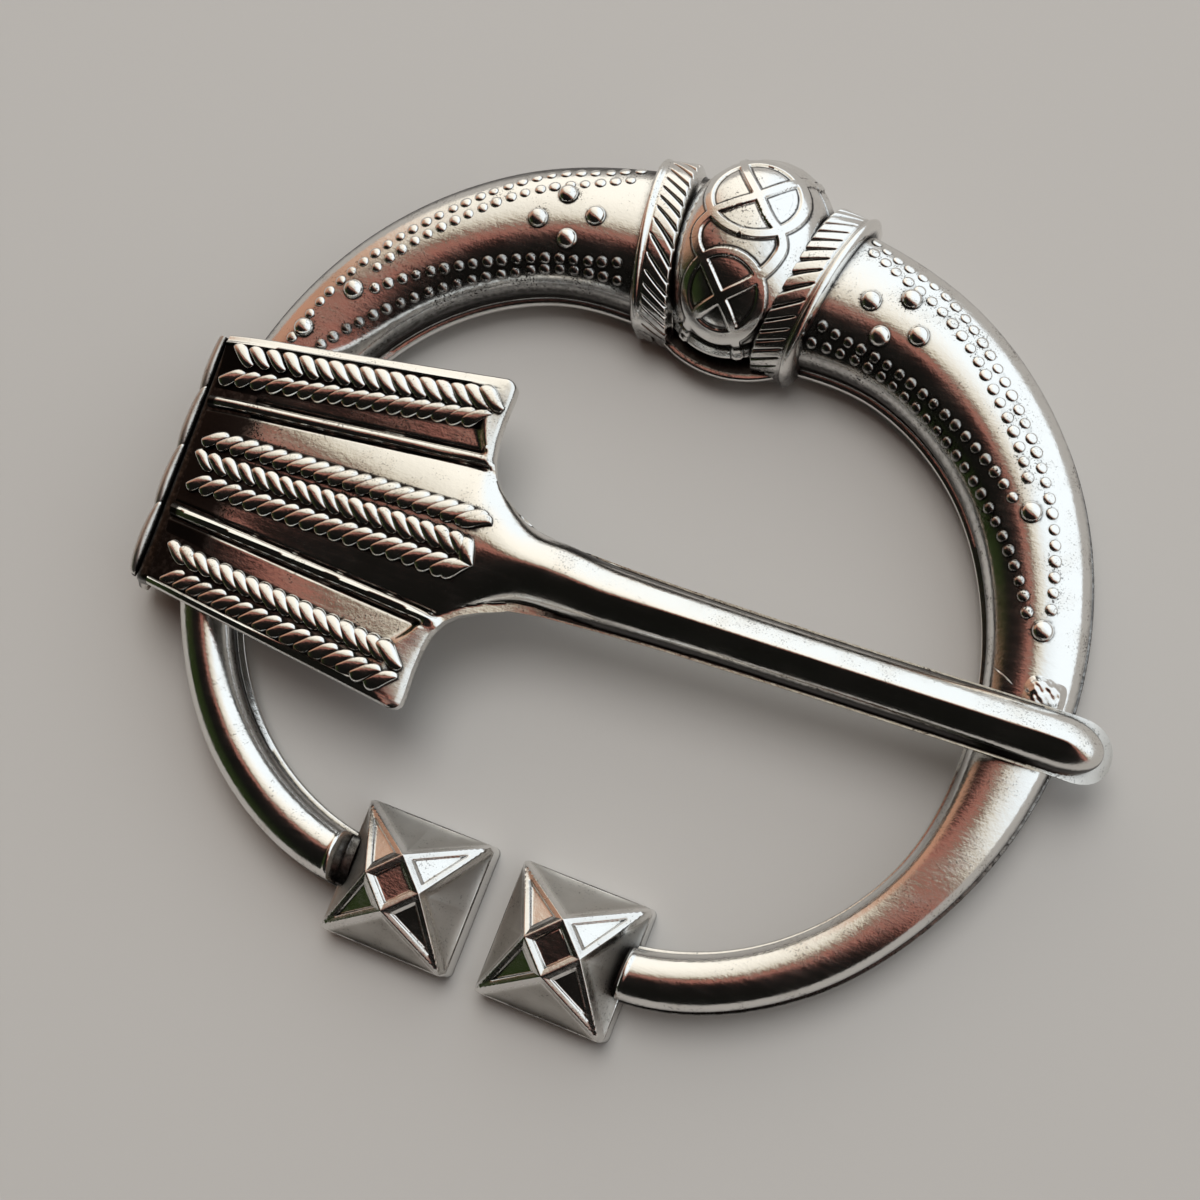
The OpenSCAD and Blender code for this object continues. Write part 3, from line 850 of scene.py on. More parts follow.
@dataclass
class Bead:
    """The bead with two wheels, two ribbons that cross in them and a moulded lip at its base."""

    form: HoopForm
    middle_x: float = 0.5
    middle_y: float = 25.5
    half_width: float = 6.0
    half_length: float = 7.55
    height: float = 7.2
    fullness: float = 2.5
    band_half: float = 0.31
    relief: float = 0.17
    # depths of the line beside the bands, the wheels' fields, the line cut in them, and the field between
    outline_depth: float = 0.12
    field_depth: float = 0.04
    cut_depth: float = 0.03
    between_depth: float = 0.2
    # the sunk field between the wheels: centre across, centre along, half size across, half size along
    between: tuple[float, float, float, float] = (0.55, 24.75, 3.0, 2.1)
    # degrees from the bead's top: the groove under the pattern, and the moulded lip
    groove_at: float = 71.5
    lip_at: float = 78.5
    turns: int = 336
    rings: int = 156
    # centre across, centre along from the hoop's centre, half size across, half size along
    wheels: list[tuple[float, ...]] = field(
        default_factory=lambda: [(0.5, 28.39, 3.4, 3.0), (0.62, 21.24, 2.72, 2.56)]
    )
    # two ribbons that cross in the wheels, one row a point: across, along
    ribbons: list[list[tuple[float, float]]] = field(
        default_factory=lambda: [
            [
                (-2.7, 32.9), (-0.95, 30.1), (0.72, 28.35), (2.18, 26.85), (3.19, 26.12), (3.55, 25.4),
                (3.4, 24.19), (2.73, 22.82), (0.64, 20.76), (-0.59, 19.72), (-1.29, 19.15), (-2.3, 17.9),
            ],
            [
                (4.0, 33.0), (2.62, 30.6), (0.72, 28.35), (-0.8, 27.2), (-2.01, 26.2), (-2.59, 24.94),
                (-2.18, 23.72), (-1.4, 22.91), (0.64, 20.76), (1.47, 19.92), (2.1, 19.07), (2.5, 17.9),
            ],
        ]
    )

    def ribbon_path(self, row: list[tuple[float, float]]) -> np.ndarray:
        """A smooth path through a ribbon's points.

        Args:
            row: the ribbon's points, across and along.

        Returns:
            The path's points, one row each.
        """
        points = np.array(row, float)
        run = np.concatenate([[0.0], np.cumsum(np.hypot(*np.diff(points, axis=0).T))])
        table = np.column_stack([run, points])
        fine = np.linspace(0, run[-1], 120)
        return np.column_stack([flow(table, fine, 1), flow(table, fine, 2)])

    def surface(self, x: np.ndarray, y: np.ndarray) -> tuple[np.ndarray, np.ndarray]:
        """Relief and hollow of the pattern.

        Args:
            x: distance across the hoop's centre line.
            y: distance from the hoop's centre.

        Returns:
            How far the surface stands out, and how deep each point is in a hollow.
        """
        bands = [self.wheel_distance(x, y, row) for row in self.wheels]
        bands += [distance_to_path(x, y, self.ribbon_path(row)) for row in self.ribbons]
        nearest = np.minimum.reduce(bands)
        half = self.band_half
        raised = ease(half + 0.08, half - 0.06, nearest)
        outline = hill(nearest - half - 0.13, 0.09)
        field_share = self.inside_wheel(x, y) * ease(half, half + 0.2, nearest)
        between = self.between_wheels(x, y) * ease(half, half + 0.25, nearest)
        engraved = field_share * hill(nearest - half - 0.48, 0.075)
        relief = self.relief * raised - self.outline_depth * outline - self.field_depth * field_share
        relief = relief - self.between_depth * between - self.cut_depth * engraved
        hollow = 0.8 * outline + 0.28 * engraved + 0.3 * between
        return relief, np.clip(hollow, 0, 1)

    def wheel_distance(self, x: np.ndarray, y: np.ndarray, row: tuple[float, ...]) -> np.ndarray:
        """Distance from a wheel's band."""
        reach = np.hypot((x - row[0]) / row[2], (y - row[1]) / row[3])
        return np.abs(reach - 1) * (row[2] + row[3]) / 2

    def inside_wheel(self, x: np.ndarray, y: np.ndarray) -> np.ndarray:
        """1 inside either wheel, 0 elsewhere."""
        near = [np.hypot((x - r[0]) / r[2], (y - r[1]) / r[3]) for r in self.wheels]
        return ease(1.02, 0.96, np.minimum.reduce(near))

    def between_wheels(self, x: np.ndarray, y: np.ndarray) -> np.ndarray:
        """1 in the sunk field between the wheels and the ribbons, 0 elsewhere."""
        middle_x, middle_y, half_x, half_y = self.between
        reach = np.hypot((x - middle_x) / half_x, (y - middle_y) / half_y)
        return ease(1.04, 0.94, reach) * (1 - self.inside_wheel(x, y))

    def build(self, bench: Bench) -> None:
        """Builds the bead.

        Args:
            bench: where the ring's frame sits.
        """
        turn = np.linspace(0, 2 * np.pi, self.turns, endpoint=False)[None, :]
        tilt = np.linspace(0.004, 1, self.rings)[:, None] * np.pi / 2
        reach = np.sin(tilt) ** (2 / self.fullness)
        x = self.half_width * reach * np.cos(turn)
        y = self.half_length * reach * np.sin(turn)
        z = self.height * np.cos(tilt) ** (2 / self.fullness) * np.ones_like(turn)
        flat = reach ** (self.fullness - 2)
        up = z ** (self.fullness - 1) / self.height**self.fullness
        normal = np.stack([flat * x / self.half_width**2, flat * y / self.half_length**2, up], axis=-1)
        normal /= np.linalg.norm(normal, axis=-1, keepdims=True)
        relief, hollow = self.surface(x + self.middle_x, y + self.middle_y)
        base = np.degrees(tilt) * np.ones_like(turn)
        ribbon = (relief > 0.1) * ease(70, 74, base)
        lip = 0.3 * hill(base - self.lip_at, 3.0)
        relief = np.maximum(relief * ease(87, 83, base), lip + 0.12 * ribbon)
        relief = relief - 0.22 * hill(base - self.groove_at, 1.8) * (1 - ribbon) - 0.25 * ease(83, 90, base)
        hollow = np.maximum(hollow, 0.9 * hill(base - self.groove_at, 2.2) * (1 - ribbon))
        # painted shadow: below the lip the bead's foot and its walls are darkened
        hollow = np.maximum(hollow * ease(82, 78, base), ease(82.5, 86, base))
        places = np.stack([x + self.middle_x, y + self.middle_y, z + self.form.back_lift], axis=-1)
        points = places + relief[..., None] * normal
        points = np.concatenate([points] + walls(points[-1:], (0.6, 0.03, 0.0)))
        hollow = np.concatenate([hollow, 0.5 * np.ones((3, self.turns))])
        Wax.closed(points, hollow).cast("bead", bench, RING_SILVER, Casting.RING)


@dataclass
class BeadFlange:
    """The thin plate that stands out round the bead's inner end."""

    form: HoopForm
    middle_x: float = 0.8
    middle_y: float = 25.2
    inner_radius: float = 6.4
    outer_radius: float = 8.4
    low: float = 0.12
    high: float = 0.72
    half_angle: float = 62.0
    turns: int = 73

    def build(self, bench: Bench) -> None:
        """Builds the flange.

        Args:
            bench: where the ring's frame sits.
        """
        turn = np.radians(np.linspace(-self.half_angle, self.half_angle, self.turns))[:, None]
        profile = [
            (self.inner_radius, self.low),
            (self.outer_radius - 0.05, self.low),
            (self.outer_radius, self.low + 0.06),
            (self.outer_radius, self.high - 0.14),
            (self.outer_radius - 0.05, self.high - 0.04),
            (self.outer_radius - 0.16, self.high),
            (self.outer_radius - 0.5, self.high),
            (self.inner_radius, self.high),
        ]
        reach = np.array([row[0] for row in profile])[None, :]
        height = np.array([row[1] for row in profile])[None, :] + self.form.back_lift + 0 * turn
        x = self.middle_x + reach * np.sin(turn)
        y = self.middle_y - reach * np.cos(turn)
        points = np.stack([x, y, height], axis=-1)
        hollow = np.zeros(points.shape[:2])
        # painted shadow on the inner band of the flange, next to the bead's foot
        hollow[:, 6:] = 0.85
        Wax.closed(points, hollow).cast("bead_flange", bench, RING_SILVER, Casting.RING)


@dataclass
class Collar:
    """A collar beside the bead: a band of slanted strokes and a plain lip, of one width all round."""

    form: HoopForm
    side: Side
    # angle of the edge beside the bead, widths of the band and the lip, rise of the lip, gap between them
    start: float
    band_width: float
    lip_width: float
    lip_rise: float
    gutter: float
    band_rise: float = 0.8
    pitch: float = 9.6
    lean: float = 17.0
    cut_depth: float = 0.26
    # how far the band reaches under the bead, and how far the feet reach below the hoop's back
    overlap: float = 0.3
    foot_drop: float = 0.09
    run_steps: int = 72
    bearing_steps: int = 430

    def rise(self, run: np.ndarray, bearing: np.ndarray) -> tuple[np.ndarray, np.ndarray]:
        """Rise over the hoop and hollow at a place on the collar.

        Args:
            run: distance from the edge beside the bead.
            bearing: bearing on the dome.

        Returns:
            How far the collar stands out of the hoop, and the depth in its cuts.
        """
        share = run / self.band_width
        phase = (bearing - self.lean * (1 - share)) / self.pitch + 0.22 * np.sin(0.09 * bearing)
        cut = np.abs(2 * (phase % 1.0) - 1) ** (3.5 + 6 * np.clip(share, 0, 1))
        cut = cut * ease(1.0, 0.8, share) * ease(0.0, 0.14, share)
        band = self.band_rise * ease(-0.16, 0.12, share) - self.cut_depth * cut
        lip_run = np.clip((run - self.band_width - self.gutter) / self.lip_width, 0, 1)
        lip = self.lip_rise * np.sin(lip_run * np.pi) ** 0.28
        edge = hill(run - self.band_width - self.gutter / 2, 0.1) * min(self.gutter * 8, 1.0)
        low = np.where(run > self.band_width + self.gutter + 0.4 * self.lip_width, -0.15, band - 0.2 * edge)
        hollow = np.clip(0.8 * ease(0.35, 0.95, cut) + 0.75 * edge, 0, 1)
        # the lip is matt as cast on top, with painted shadow along its low flanks
        lip_hollow = -0.5 + 1.3 * ease(0.6, 0.1, lip / self.lip_rise)
        hollow = np.where(lip > low + 0.05, lip_hollow, hollow)
        return np.maximum(low, lip), hollow

    def build(self, bench: Bench) -> None:
        """Builds the collar.

        Args:
            bench: where the ring's frame sits.
        """
        total = self.band_width + self.gutter + self.lip_width
        run = np.linspace(-self.overlap, total + 0.02, self.run_steps)[:, None]
        bearing = np.linspace(0, 180, self.bearing_steps)[None, :]
        middle, half = self.form.section(self.start)
        radius = middle + half * np.cos(np.radians(bearing))
        angle = self.start + np.degrees(np.arcsin(run / radius))
        rise, hollow = self.rise(run, bearing)
        dome = self.form.dome(self.side.value * angle, bearing, rise)
        foot, heel = np.copy(dome[:, :1]), np.copy(dome[:, -1:])
        for edge in (foot, heel):
            edge[..., 2] = self.form.back_lift - self.foot_drop
        points = np.concatenate([foot, dome, heel], axis=1)
        hollow = np.concatenate([hollow[:, :1], hollow, hollow[:, -1:]], axis=1)
        bearings = np.concatenate([[[0.0]], bearing, [[180.0]]], axis=1)
        # painted shade on the collar's inner side, as on the hoop's inner wall
        hollow = np.maximum(hollow, 0.6 * ease(150, 176, bearings))
        name = f"collar_{self.side.name.lower()}"
        Wax.closed(points, hollow).cast(name, bench, RING_SILVER, Casting.RING)


@dataclass
class StarEnd:
    """A square end with a four-pointed star whose fields are sunk between raised rims."""

    form: HoopForm
    side: Side
    half: float = 4.85
    gap: float = 2.3
    centre_y: float = -25.07
    corner: float = 0.45
    edge: float = 0.5
    top: float = 4.35
    tip: float = 1.1
    middle: float = 2.05
    reach: float = 4.66
    rim: float = 0.46
    sink: float = 0.17
    # tilt of the middle field, as rise over run towards the bead
    middle_tilt: float = 0.0
    cove: float = 0.95
    turns: int = 288
    rings: int = 120

    def boundary(self, turn: np.ndarray) -> np.ndarray:
        """Distance from the middle to the rounded square's edge.

        Args:
            turn: direction from the middle, in radians.

        Returns:
            The distance in each direction.
        """
        across, upward = np.abs(np.cos(turn)), np.abs(np.sin(turn))
        flat = self.half / np.maximum(across, upward)
        inner = self.half - self.corner
        along = inner * (across + upward)
        under = np.maximum(along**2 - 2 * inner**2 + self.corner**2, 0.0)
        rounded = along + np.sqrt(under)
        in_corner = (np.minimum(across, upward) * flat) > inner
        return np.where(in_corner, rounded, flat)

    def surface(self, x: np.ndarray, y: np.ndarray) -> tuple[np.ndarray, np.ndarray]:
        """Height and hollow of the star.

        Args:
            x: distance from the end's middle across the brooch.
            y: distance from the end's middle towards the bead.

        Returns:
            The height above the hoop's back, and the depth in a hollow.
        """
        big = np.maximum(np.abs(x), np.abs(y))
        small = np.minimum(np.abs(x), np.abs(y))
        along = (np.abs(x) + np.abs(y)) / math.sqrt(2)
        centre_half = self.middle / math.sqrt(2)
        tip_run = self.reach * math.sqrt(2)
        slope = np.clip((along - centre_half) / (tip_run - centre_half), 0, 1)
        arm = self.top - (self.top - self.tip) * slope
        edge_at = self.middle + (self.reach - self.middle) * np.clip(small / self.reach, 0, 1)
        lean = math.cos(math.atan2(self.reach - self.middle, self.reach))
        past = (big - edge_at) * lean
        soft = np.sqrt(small**2 + (self.cove * np.maximum(big - edge_at, 0)) ** 2)
        along_edge = np.clip(soft / self.reach, 0, 1)
        edge_height = self.top - (self.top - self.tip) * along_edge
        soft_edge = self.middle + (self.reach - self.middle) * along_edge
        share = np.clip((big - soft_edge) / np.maximum(self.half - soft_edge, 0.05), 0, 1)
        flank = self.edge + (edge_height - self.edge) * (1 - share) ** 1.7
        base = np.where(past > 0, np.minimum(flank, arm), arm)
        from_centre = np.abs(along - centre_half) + 0.0 * big
        rim_gap = np.minimum(np.abs(past), np.where(past < 0.4, from_centre, np.inf))
        in_star = ease(0.12, -0.12, past)
        raised = ease(self.rim + 0.06, self.rim - 0.12, rim_gap)
        field_sink = self.sink * in_star * (1 - raised)
        crest = 0.13 * hill(rim_gap, 0.3) * ease(0.4, 0.05, past)
        crest = crest + self.middle_tilt * y * ease(centre_half - 0.4, centre_half - 0.55, along)
        hollow = in_star * hill(rim_gap - self.rim, 0.06) * 0.6 + 0.5 * hill(past - 0.3, 0.12)
        # darker along the foot of each flank, next to the square's edge
        flank_foot_dark = 0.6 * ease(0.9, 0.97, share) * ease(0.1, 0.5, past)
        rough = -0.9 * ease(0.15, 0.3, past) * (share < 0.94) - in_star * (0.12 + 0.2 * raised)
        return base - field_sink + crest, np.clip(hollow + flank_foot_dark, 0, 1) + rough

    def build(self, bench: Bench) -> None:
        """Builds the square end.

        Args:
            bench: where the ring's frame sits.
        """
        turn = np.linspace(0, 2 * np.pi, self.turns, endpoint=False)[None, :]
        share = np.linspace(0.002, 1, self.rings)[:, None]
        reach = share * self.boundary(turn)
        x = reach * np.cos(turn)
        y = reach * np.sin(turn)
        height, hollow = self.surface(x, y)
        height = height - 0.12 * ease(0.985, 1.0, share)
        centre_x = self.side.value * (self.gap / 2 + self.half)
        top = np.stack([x + centre_x, y + self.centre_y, height + self.form.back_lift], axis=-1)
        points = np.concatenate([top] + walls(top[-1:], (0.92, 0.5, 0.06, 0.0)))
        hollow = np.concatenate([hollow, np.zeros((2, self.turns)), 0.3 * np.ones((2, self.turns))])
        name = f"star_end_{self.side.name.lower()}"
        Wax.closed(points, hollow).cast(name, bench, RING_SILVER, Casting.RING)


@dataclass
class PinRest:
    """The low cast lump on the right arm beside the place where the pin crosses, with a sliver of flash."""

    form: HoopForm
    start: float = 83.3
    stop: float = 88.6
    inner: float = 28.9
    outer: float = 32.2
    rise: float = 0.5
    # how far the lump's edges lie in the hoop, and how rough its top is
    sunk: float = 0.12
    roughness: float = 0.05
    # the sliver's ends: angle from the bead, radius
    sliver: tuple[tuple[float, float], tuple[float, float]] = ((83.6, 26.9), (85.6, 28.4))

    def top(self, angle: np.ndarray, radius: np.ndarray) -> np.ndarray:
        """Height of the hoop's dome.

        Args:
            angle: angle from the bead, in degrees.
            radius: distance from the hoop's centre.

        Returns:
            The height above the hoop's back.
        """
        middle, half = self.form.section(angle)
        side = np.clip((radius - middle) / half, -0.995, 0.995)
        return self.form.foot_wall + (self.form.thick(angle) - self.form.foot_wall) * np.sqrt(1 - side**2)

    def build(self, bench: Bench) -> None:
        """Builds the lump and the sliver.

        Args:
            bench: where the ring's frame sits.
        """
        u = np.linspace(0, 1, 60)[:, None]
        v = np.linspace(0, 1, 64)[None, :]
        angle = self.start + (self.stop - self.start) * u
        radius = self.inner + (self.outer - self.inner) * v
        wavy = 0.04 * np.sin(7 * v + 2)
        edge = ease(0, 0.36, u - wavy * (1 - u)) * ease(1, 0.9, u) * ease(0, 0.34, v) * ease(1, 0.8, v)
        dents = np.sin(15 * u + 3 * v) * np.sin(13 * v - 4 * u)
        dents = dents + 0.6 * np.sin(31 * u - 9 * v) * np.sin(27 * v + 2)
        height = self.top(angle, radius) - self.sunk
        height = height + (self.rise + self.sunk + self.roughness * dents) * edge
        points = self.form.place(angle, radius, height)
        hollow = 0.5 * ease(-0.2, -0.9, dents) * edge + 0.6 * ease(0.3, 0.0, edge) - 0.3 * edge
        wax = Wax()
        wax.sheet(points, hollow)
        self.flash(wax)
        wax.cast("pin_rest", bench, RING_SILVER, Casting.RING)

    def flash(self, wax: Wax) -> None:
        """Adds the sliver of flash: a thin tapered rod that lies on the dome.

        Args:
            wax: the mesh in the making.
        """
        s = np.linspace(0, 1, 16)[:, None]
        turn = np.linspace(0, 2 * np.pi, 8, endpoint=False)[None, :]
        (first_angle, first_radius), (last_angle, last_radius) = self.sliver
        angle = first_angle + (last_angle - first_angle) * s
        radius = first_radius + (last_radius - first_radius) * s
        thick = 0.14 * np.sin(np.clip(s * 0.94 + 0.03, 0, 1) * np.pi) ** 0.7
        across = radius + thick * np.cos(turn)
        points = self.form.place(angle, across, self.top(angle, radius) + 0.08 + thick * np.sin(turn))
        wax.sheet(points, 0.0, ring=True, caps=True)


@dataclass
class Ring:
    """The cast ring, made of its hoop, bead, collars, ends and granules."""

    form: HoopForm = field(default_factory=HoopForm)
    bench: Bench = Bench(0.0, 0.0, 0.0)

    def build(self) -> None:
        """Builds every piece of the ring."""
        granules = Granules(self.form)
        hoop = Hoop(self.form, granules).build(self.bench)
        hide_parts(Casting.RING.value)
        granules.build(self.bench)
        Bead(self.form).build(self.bench)
        BeadFlange(self.form).build(self.bench)
        left = Collar(
            self.form, Side.LEFT, start=9.3, band_width=2.1, lip_width=0.75, lip_rise=0.9, gutter=0.02
        )
        left.build(self.bench)
        right = Collar(
            self.form,
            Side.RIGHT,
            start=10.2,
            band_width=2.2,
            lip_width=0.8,
            lip_rise=1.1,
            gutter=0.04,
            lean=12,
        )
        right.build(self.bench)
        StarEnd(self.form, Side.LEFT).build(self.bench)
        StarEnd(self.form, Side.RIGHT, middle_tilt=0.09).build(self.bench)
        PinRest(self.form).build(self.bench)


# The pin's shapes
@dataclass(frozen=True)
class HeadPlace:
    """Where points of the head's top lie beside its edges and ribs, in millimetres."""

    # distance from the fold, and from the relief's middle line
    x: np.ndarray
    y: np.ndarray
    # distance from the side edge, from the end edge, and from the end edge as its rim is wide there
    side: np.ndarray
    end: np.ndarray
    inward: np.ndarray
    # distance from the outer edge of the rim, which rounds the corner
    inset: np.ndarray
    # place of the ribs' middle line, and distance outwards from the nearer rib's crest
    middle: np.ndarray
    rib: np.ndarray
    # whether a point lies in the outer half of its side, 1 outside the ribs, 1 where the ribs still stand
    wing: np.ndarray
    outside: np.ndarray
    standing: np.ndarray


@dataclass
class PinForm:
    """The pin's form: outline, heights and the lines of its ribs, in the pin's own frame."""

    fold_half: float = 9.6
    flare: float = 0.132
    # how far the relief's middle line lies to the bead side at the fold, and its loss by the head's end
    relief_shift: float = 0.49
    shift_loss: float = 0.16
    # how much further to the bead side the ribs lie, and the shank's root
    rib_offset: float = 0.3
    neck_offset: float = 0.3
    # distance of the ribs from their middle line at the fold, and its growth along the head
    rib_spread: float = 4.2
    rib_flare: float = 0.082
    rib_half: float = 0.45
    rib_rise: float = 0.46
    # the groove along both sides of a rib, and the ramp that leads up to the lower rib from the inside
    groove_at: float = 0.56
    groove_depth: float = 0.16
    ramp_width: float = 1.3
    ramp_rise: float = 0.1
    rim_width: float = 0.66
    rim_rise: float = 0.48
    # the fold's line: how far out its middle lies, and its lean along the hoop
    fold_out: float = 0.25
    fold_lean: float = 0.05
    # the top's bend into the fold: distance from the fold where it starts, and its drop
    bend_start: float = 4.2
    bend_drop: float = 0.5
    # where the shank leaves the head, its half width there, and where the tip starts to bend down
    neck_x: float = 26.1
    neck_half: float = 3.0
    bend_x: float = 62.4
    # distance from the fold, half width of the shank
    shank_rows: list[tuple[float, float]] = field(
        default_factory=lambda: [(26.1, 3.0), (28.4, 2.66), (32.5, 2.45), (37, 2.3), (48, 2.15), (62.4, 2.15)]
    )
    # share across the head, distance of the end edge from the fold
    end_rows: list[tuple[float, float]] = field(
        default_factory=lambda: [
            (0.2317, 26.1), (0.294, 24.35), (0.361, 23.0), (0.43, 22.15), (0.522, 21.6), (0.63, 21.35),
            (0.753, 21.28), (0.90, 21.36), (0.955, 21.32), (0.985, 21.05), (1.0, 20.6),
        ]
    )
    # distance from the fold, underside, crest over the underside, half width of the swelling,
    # floor over the underside, sharpness of the swelling's shoulders
    body_rows: list[tuple[float, ...]] = field(
        default_factory=lambda: [
            (0, 6.9, 0.73, 4.1, 0.72, 3.2),
            (5, 6.9, 0.81, 4.5, 0.72, 3.2),
            (10, 6.9, 1.1, 4.9, 0.75, 3.0),
            (15, 6.9, 1.52, 5.3, 0.8, 2.7),
            (20, 6.9, 1.9, 5.6, 0.85, 2.3),
            (21.6, 6.9, 2.02, 5.4, 0.85, 2.1),
            (23, 6.87, 2.15, 4.3, 0.75, 1.95),
            (24.3, 6.83, 2.32, 3.45, 0.6, 1.9),
            (26.1, 6.75, 2.55, 2.68, 0.45, 1.8),
            (29, 6.67, 2.75, 2.4, 0.42, 1.7),
            (32.5, 6.57, 2.84, 2.2, 0.4, 1.7),
            (37, 6.45, 2.9, 2.05, 0.4, 1.7),
            (48, 6.15, 2.9, 1.92, 0.4, 1.7),
            (62.4, 5.8, 2.9, 1.92, 0.4, 1.7),
        ]
    )
    # distance from the fold, tilt in degrees of the upper and of the lower side field's floor
    field_rows: list[tuple[float, ...]] = field(
        default_factory=lambda: [(2, -8.5, -6.0), (8, -7.5, -1.0), (14, -5.5, 3.5), (20, -4.0, 5.0)]
    )
    # the ropes: place across at the first and at the last strand, distance of both strands from the fold
    rope_rows: list[tuple[float, ...]] = field(
        default_factory=lambda: [
            (8.3, 10.5, 1.7, 20.1), (6.55, 8.95, 1.3, 19.4), (1.85, 1.95, 1.6, 21.9), (0.1, -0.12, 1.3, 21.8),
            (-1.55, -1.85, 1.5, 21.4), (-6.8, -8.85, 1.6, 19.6), (-8.55, -10.7, 1.9, 19.6),
        ]
    )

    def head_half(self, x: np.ndarray) -> np.ndarray:
        """Half width of the head's fan at a distance from the fold."""
        return self.fold_half + self.flare * x

    def end_edge(self, share: np.ndarray) -> np.ndarray:
        """Distance of the head's end edge from the fold, by share across."""
        return line(self.end_rows, np.abs(share), 1)

    def shift(self, x: np.ndarray) -> np.ndarray:
        """How far the relief's middle line lies to the bead side."""
        return (self.relief_shift - self.shift_loss * np.clip(x / 21, 0, 1)) * ease(25.8, 20.0, x)

    def rib_line(self, x: np.ndarray) -> np.ndarray:
        """Distance of the ribs from their middle line."""
        return self.rib_spread + self.rib_flare * x

    def skew(self, x: np.ndarray, y: np.ndarray) -> np.ndarray:
        """How far the fold's line leans along the hoop: an offset in x that fades into the head."""
        return -(self.fold_out + self.fold_lean * y) * ease(7.0, 0.0, x)

    def bend(self, x: np.ndarray) -> np.ndarray:
        """How far the head's top bends down where it turns into the fold."""
        return self.bend_drop * (np.clip(self.bend_start - x, 0, None) / self.bend_start) ** 2

    def gable(self, share: np.ndarray, ridge: np.ndarray | float = 0.02) -> np.ndarray:
        """Section of the shank: two flat slopes that meet in a ridge of a given softness, with steep feet."""
        soft = (np.sqrt(share**2 + ridge) - np.sqrt(ridge)) / (np.sqrt(1 + ridge) - np.sqrt(ridge))
        return (1 - 0.52 * soft) * (1 - np.clip(share, 0, 1) ** 9) ** 0.6

    def swelling(self, x: np.ndarray, y: np.ndarray) -> np.ndarray:
        """Height of the body, without rims and ribs.

        Args:
            x: distance from the fold.
            y: distance from the relief's middle line.

        Returns:
            The height over the underside.
        """
        crest = flow(self.body_rows, x, 2)
        half = flow(self.body_rows, x, 3)
        floor = flow(self.body_rows, x, 4)
        power = flow(self.body_rows, x, 5)
        off = self.rib_offset * ease(24, 20.5, x) + self.neck_offset * ease(20.5, 24, x) * ease(33, 28, x)
        share = np.clip(np.abs(y - off) / half, 0, 1)
        pillow = (1 - share**power) ** (1 - 0.38 * ease(20, 25, x))
        gable = self.gable(share, 0.02 + 0.14 * ease(38, 29, x))
        return floor + (crest - floor) * (pillow + (gable - pillow) * ease(24.5, 31, x))

    def under(self, x: np.ndarray) -> np.ndarray:
        """Height of the underside over the table."""
        return flow(self.body_rows, x, 1)

    def place(self, x: np.ndarray, y: np.ndarray) -> HeadPlace:
        """Measures points of the head's top from its edges and ribs.

        Args:
            x: distance from the fold.
            y: distance from the relief's middle line.

        Returns:
            Where the points lie.
        """
        share = np.abs(y) / self.head_half(x)
        side = (1 - share) * self.head_half(x) * 0.988 * np.where(y > 0, 1.0, 1.3)
        end = self.end_edge(share) - x
        middle = self.rib_offset * ease(24, 20.5, x)
        rib = np.abs(y - middle) - self.rib_line(x)
        wing = share > 0.5
        wide = np.where(y > 0, 1.0, 1.6) * (0.5 + 0.5 * ease(0.5, 0.75, share))
        inward = np.clip(end, 0, None) * self.rim_width / wide
        inset = np.where(wing, side + inward - np.hypot(side, inward), inward)
        outside, standing = ease(-0.2, 0.1, rib), ease(22.3, 21.2, x)
        return HeadPlace(x, y, side, end, inward, inset, middle, rib, wing, outside, standing)

    def rim(self, at: HeadPlace) -> np.ndarray:
        """Rise of the rim along the head's edges.

        Args:
            at: where the points lie.

        Returns:
            The rise at each point, below 0 on the rounding of the outer edge.
        """
        at_end = ease(0.3, -0.3, at.inward - at.side)
        soft = 0.2 + 0.3 * at_end
        rise = self.rim_rise * ease(self.rim_width + soft, self.rim_width - 0.05, at.inset)
        least = 0.5 - 0.3 * (at.y < 0) * at_end
        rise = rise * (least + (1 - least) * np.clip(at.inset / self.rim_width, 0, 1)) * at.outside
        return rise - 0.2 * ease(0.1, 0.0, at.inset) * at.wing

    def field_tilt(self, at: HeadPlace) -> np.ndarray:
        """Drop of the side fields' tilted floors.

        Args:
            at: where the points lie.

        Returns:
            The drop at each point, 0 along the middle of each floor.
        """
        tilt = np.where(at.y > 0, flow(self.field_rows, at.x, 1), flow(self.field_rows, at.x, 2))
        middle = np.sign(at.y) * (self.rib_line(at.x) + 1.3) + at.middle
        return np.tan(np.radians(tilt)) * (at.y - middle) * ease(0.1, 0.6, at.rib) * ease(0.5, 0.9, at.inset)

    def head_top(self, x: np.ndarray, y: np.ndarray) -> tuple[np.ndarray, np.ndarray]:
        """Top of the head.

        Args:
            x: distance from the fold.
            y: distance from the relief's middle line.

        Returns:
            The height over the underside, and the depth in a hollow.
        """
        at = self.place(x, y)
        section = np.sqrt(np.clip(1 - (at.rib / self.rib_half) ** 2, 0, 1))
        ridge = self.rib_rise * section * at.standing * ease(0.0, 0.4, at.end)
        groove = hill(np.abs(at.rib) - self.groove_at, 0.1) * at.standing * ease(0.3, 1.2, at.end)
        climb = (np.clip(self.ramp_width + at.rib, 0, self.ramp_width) / self.ramp_width) ** 2
        ramp = self.ramp_rise * climb * (at.y < 0) * (at.rib < 0) * at.standing
        height = self.swelling(x, y) - self.groove_depth * groove - self.field_tilt(at) + ramp
        height = np.maximum(height + np.maximum(self.rim(at), ridge), 0.3)
        return height, self.head_hollow(at)

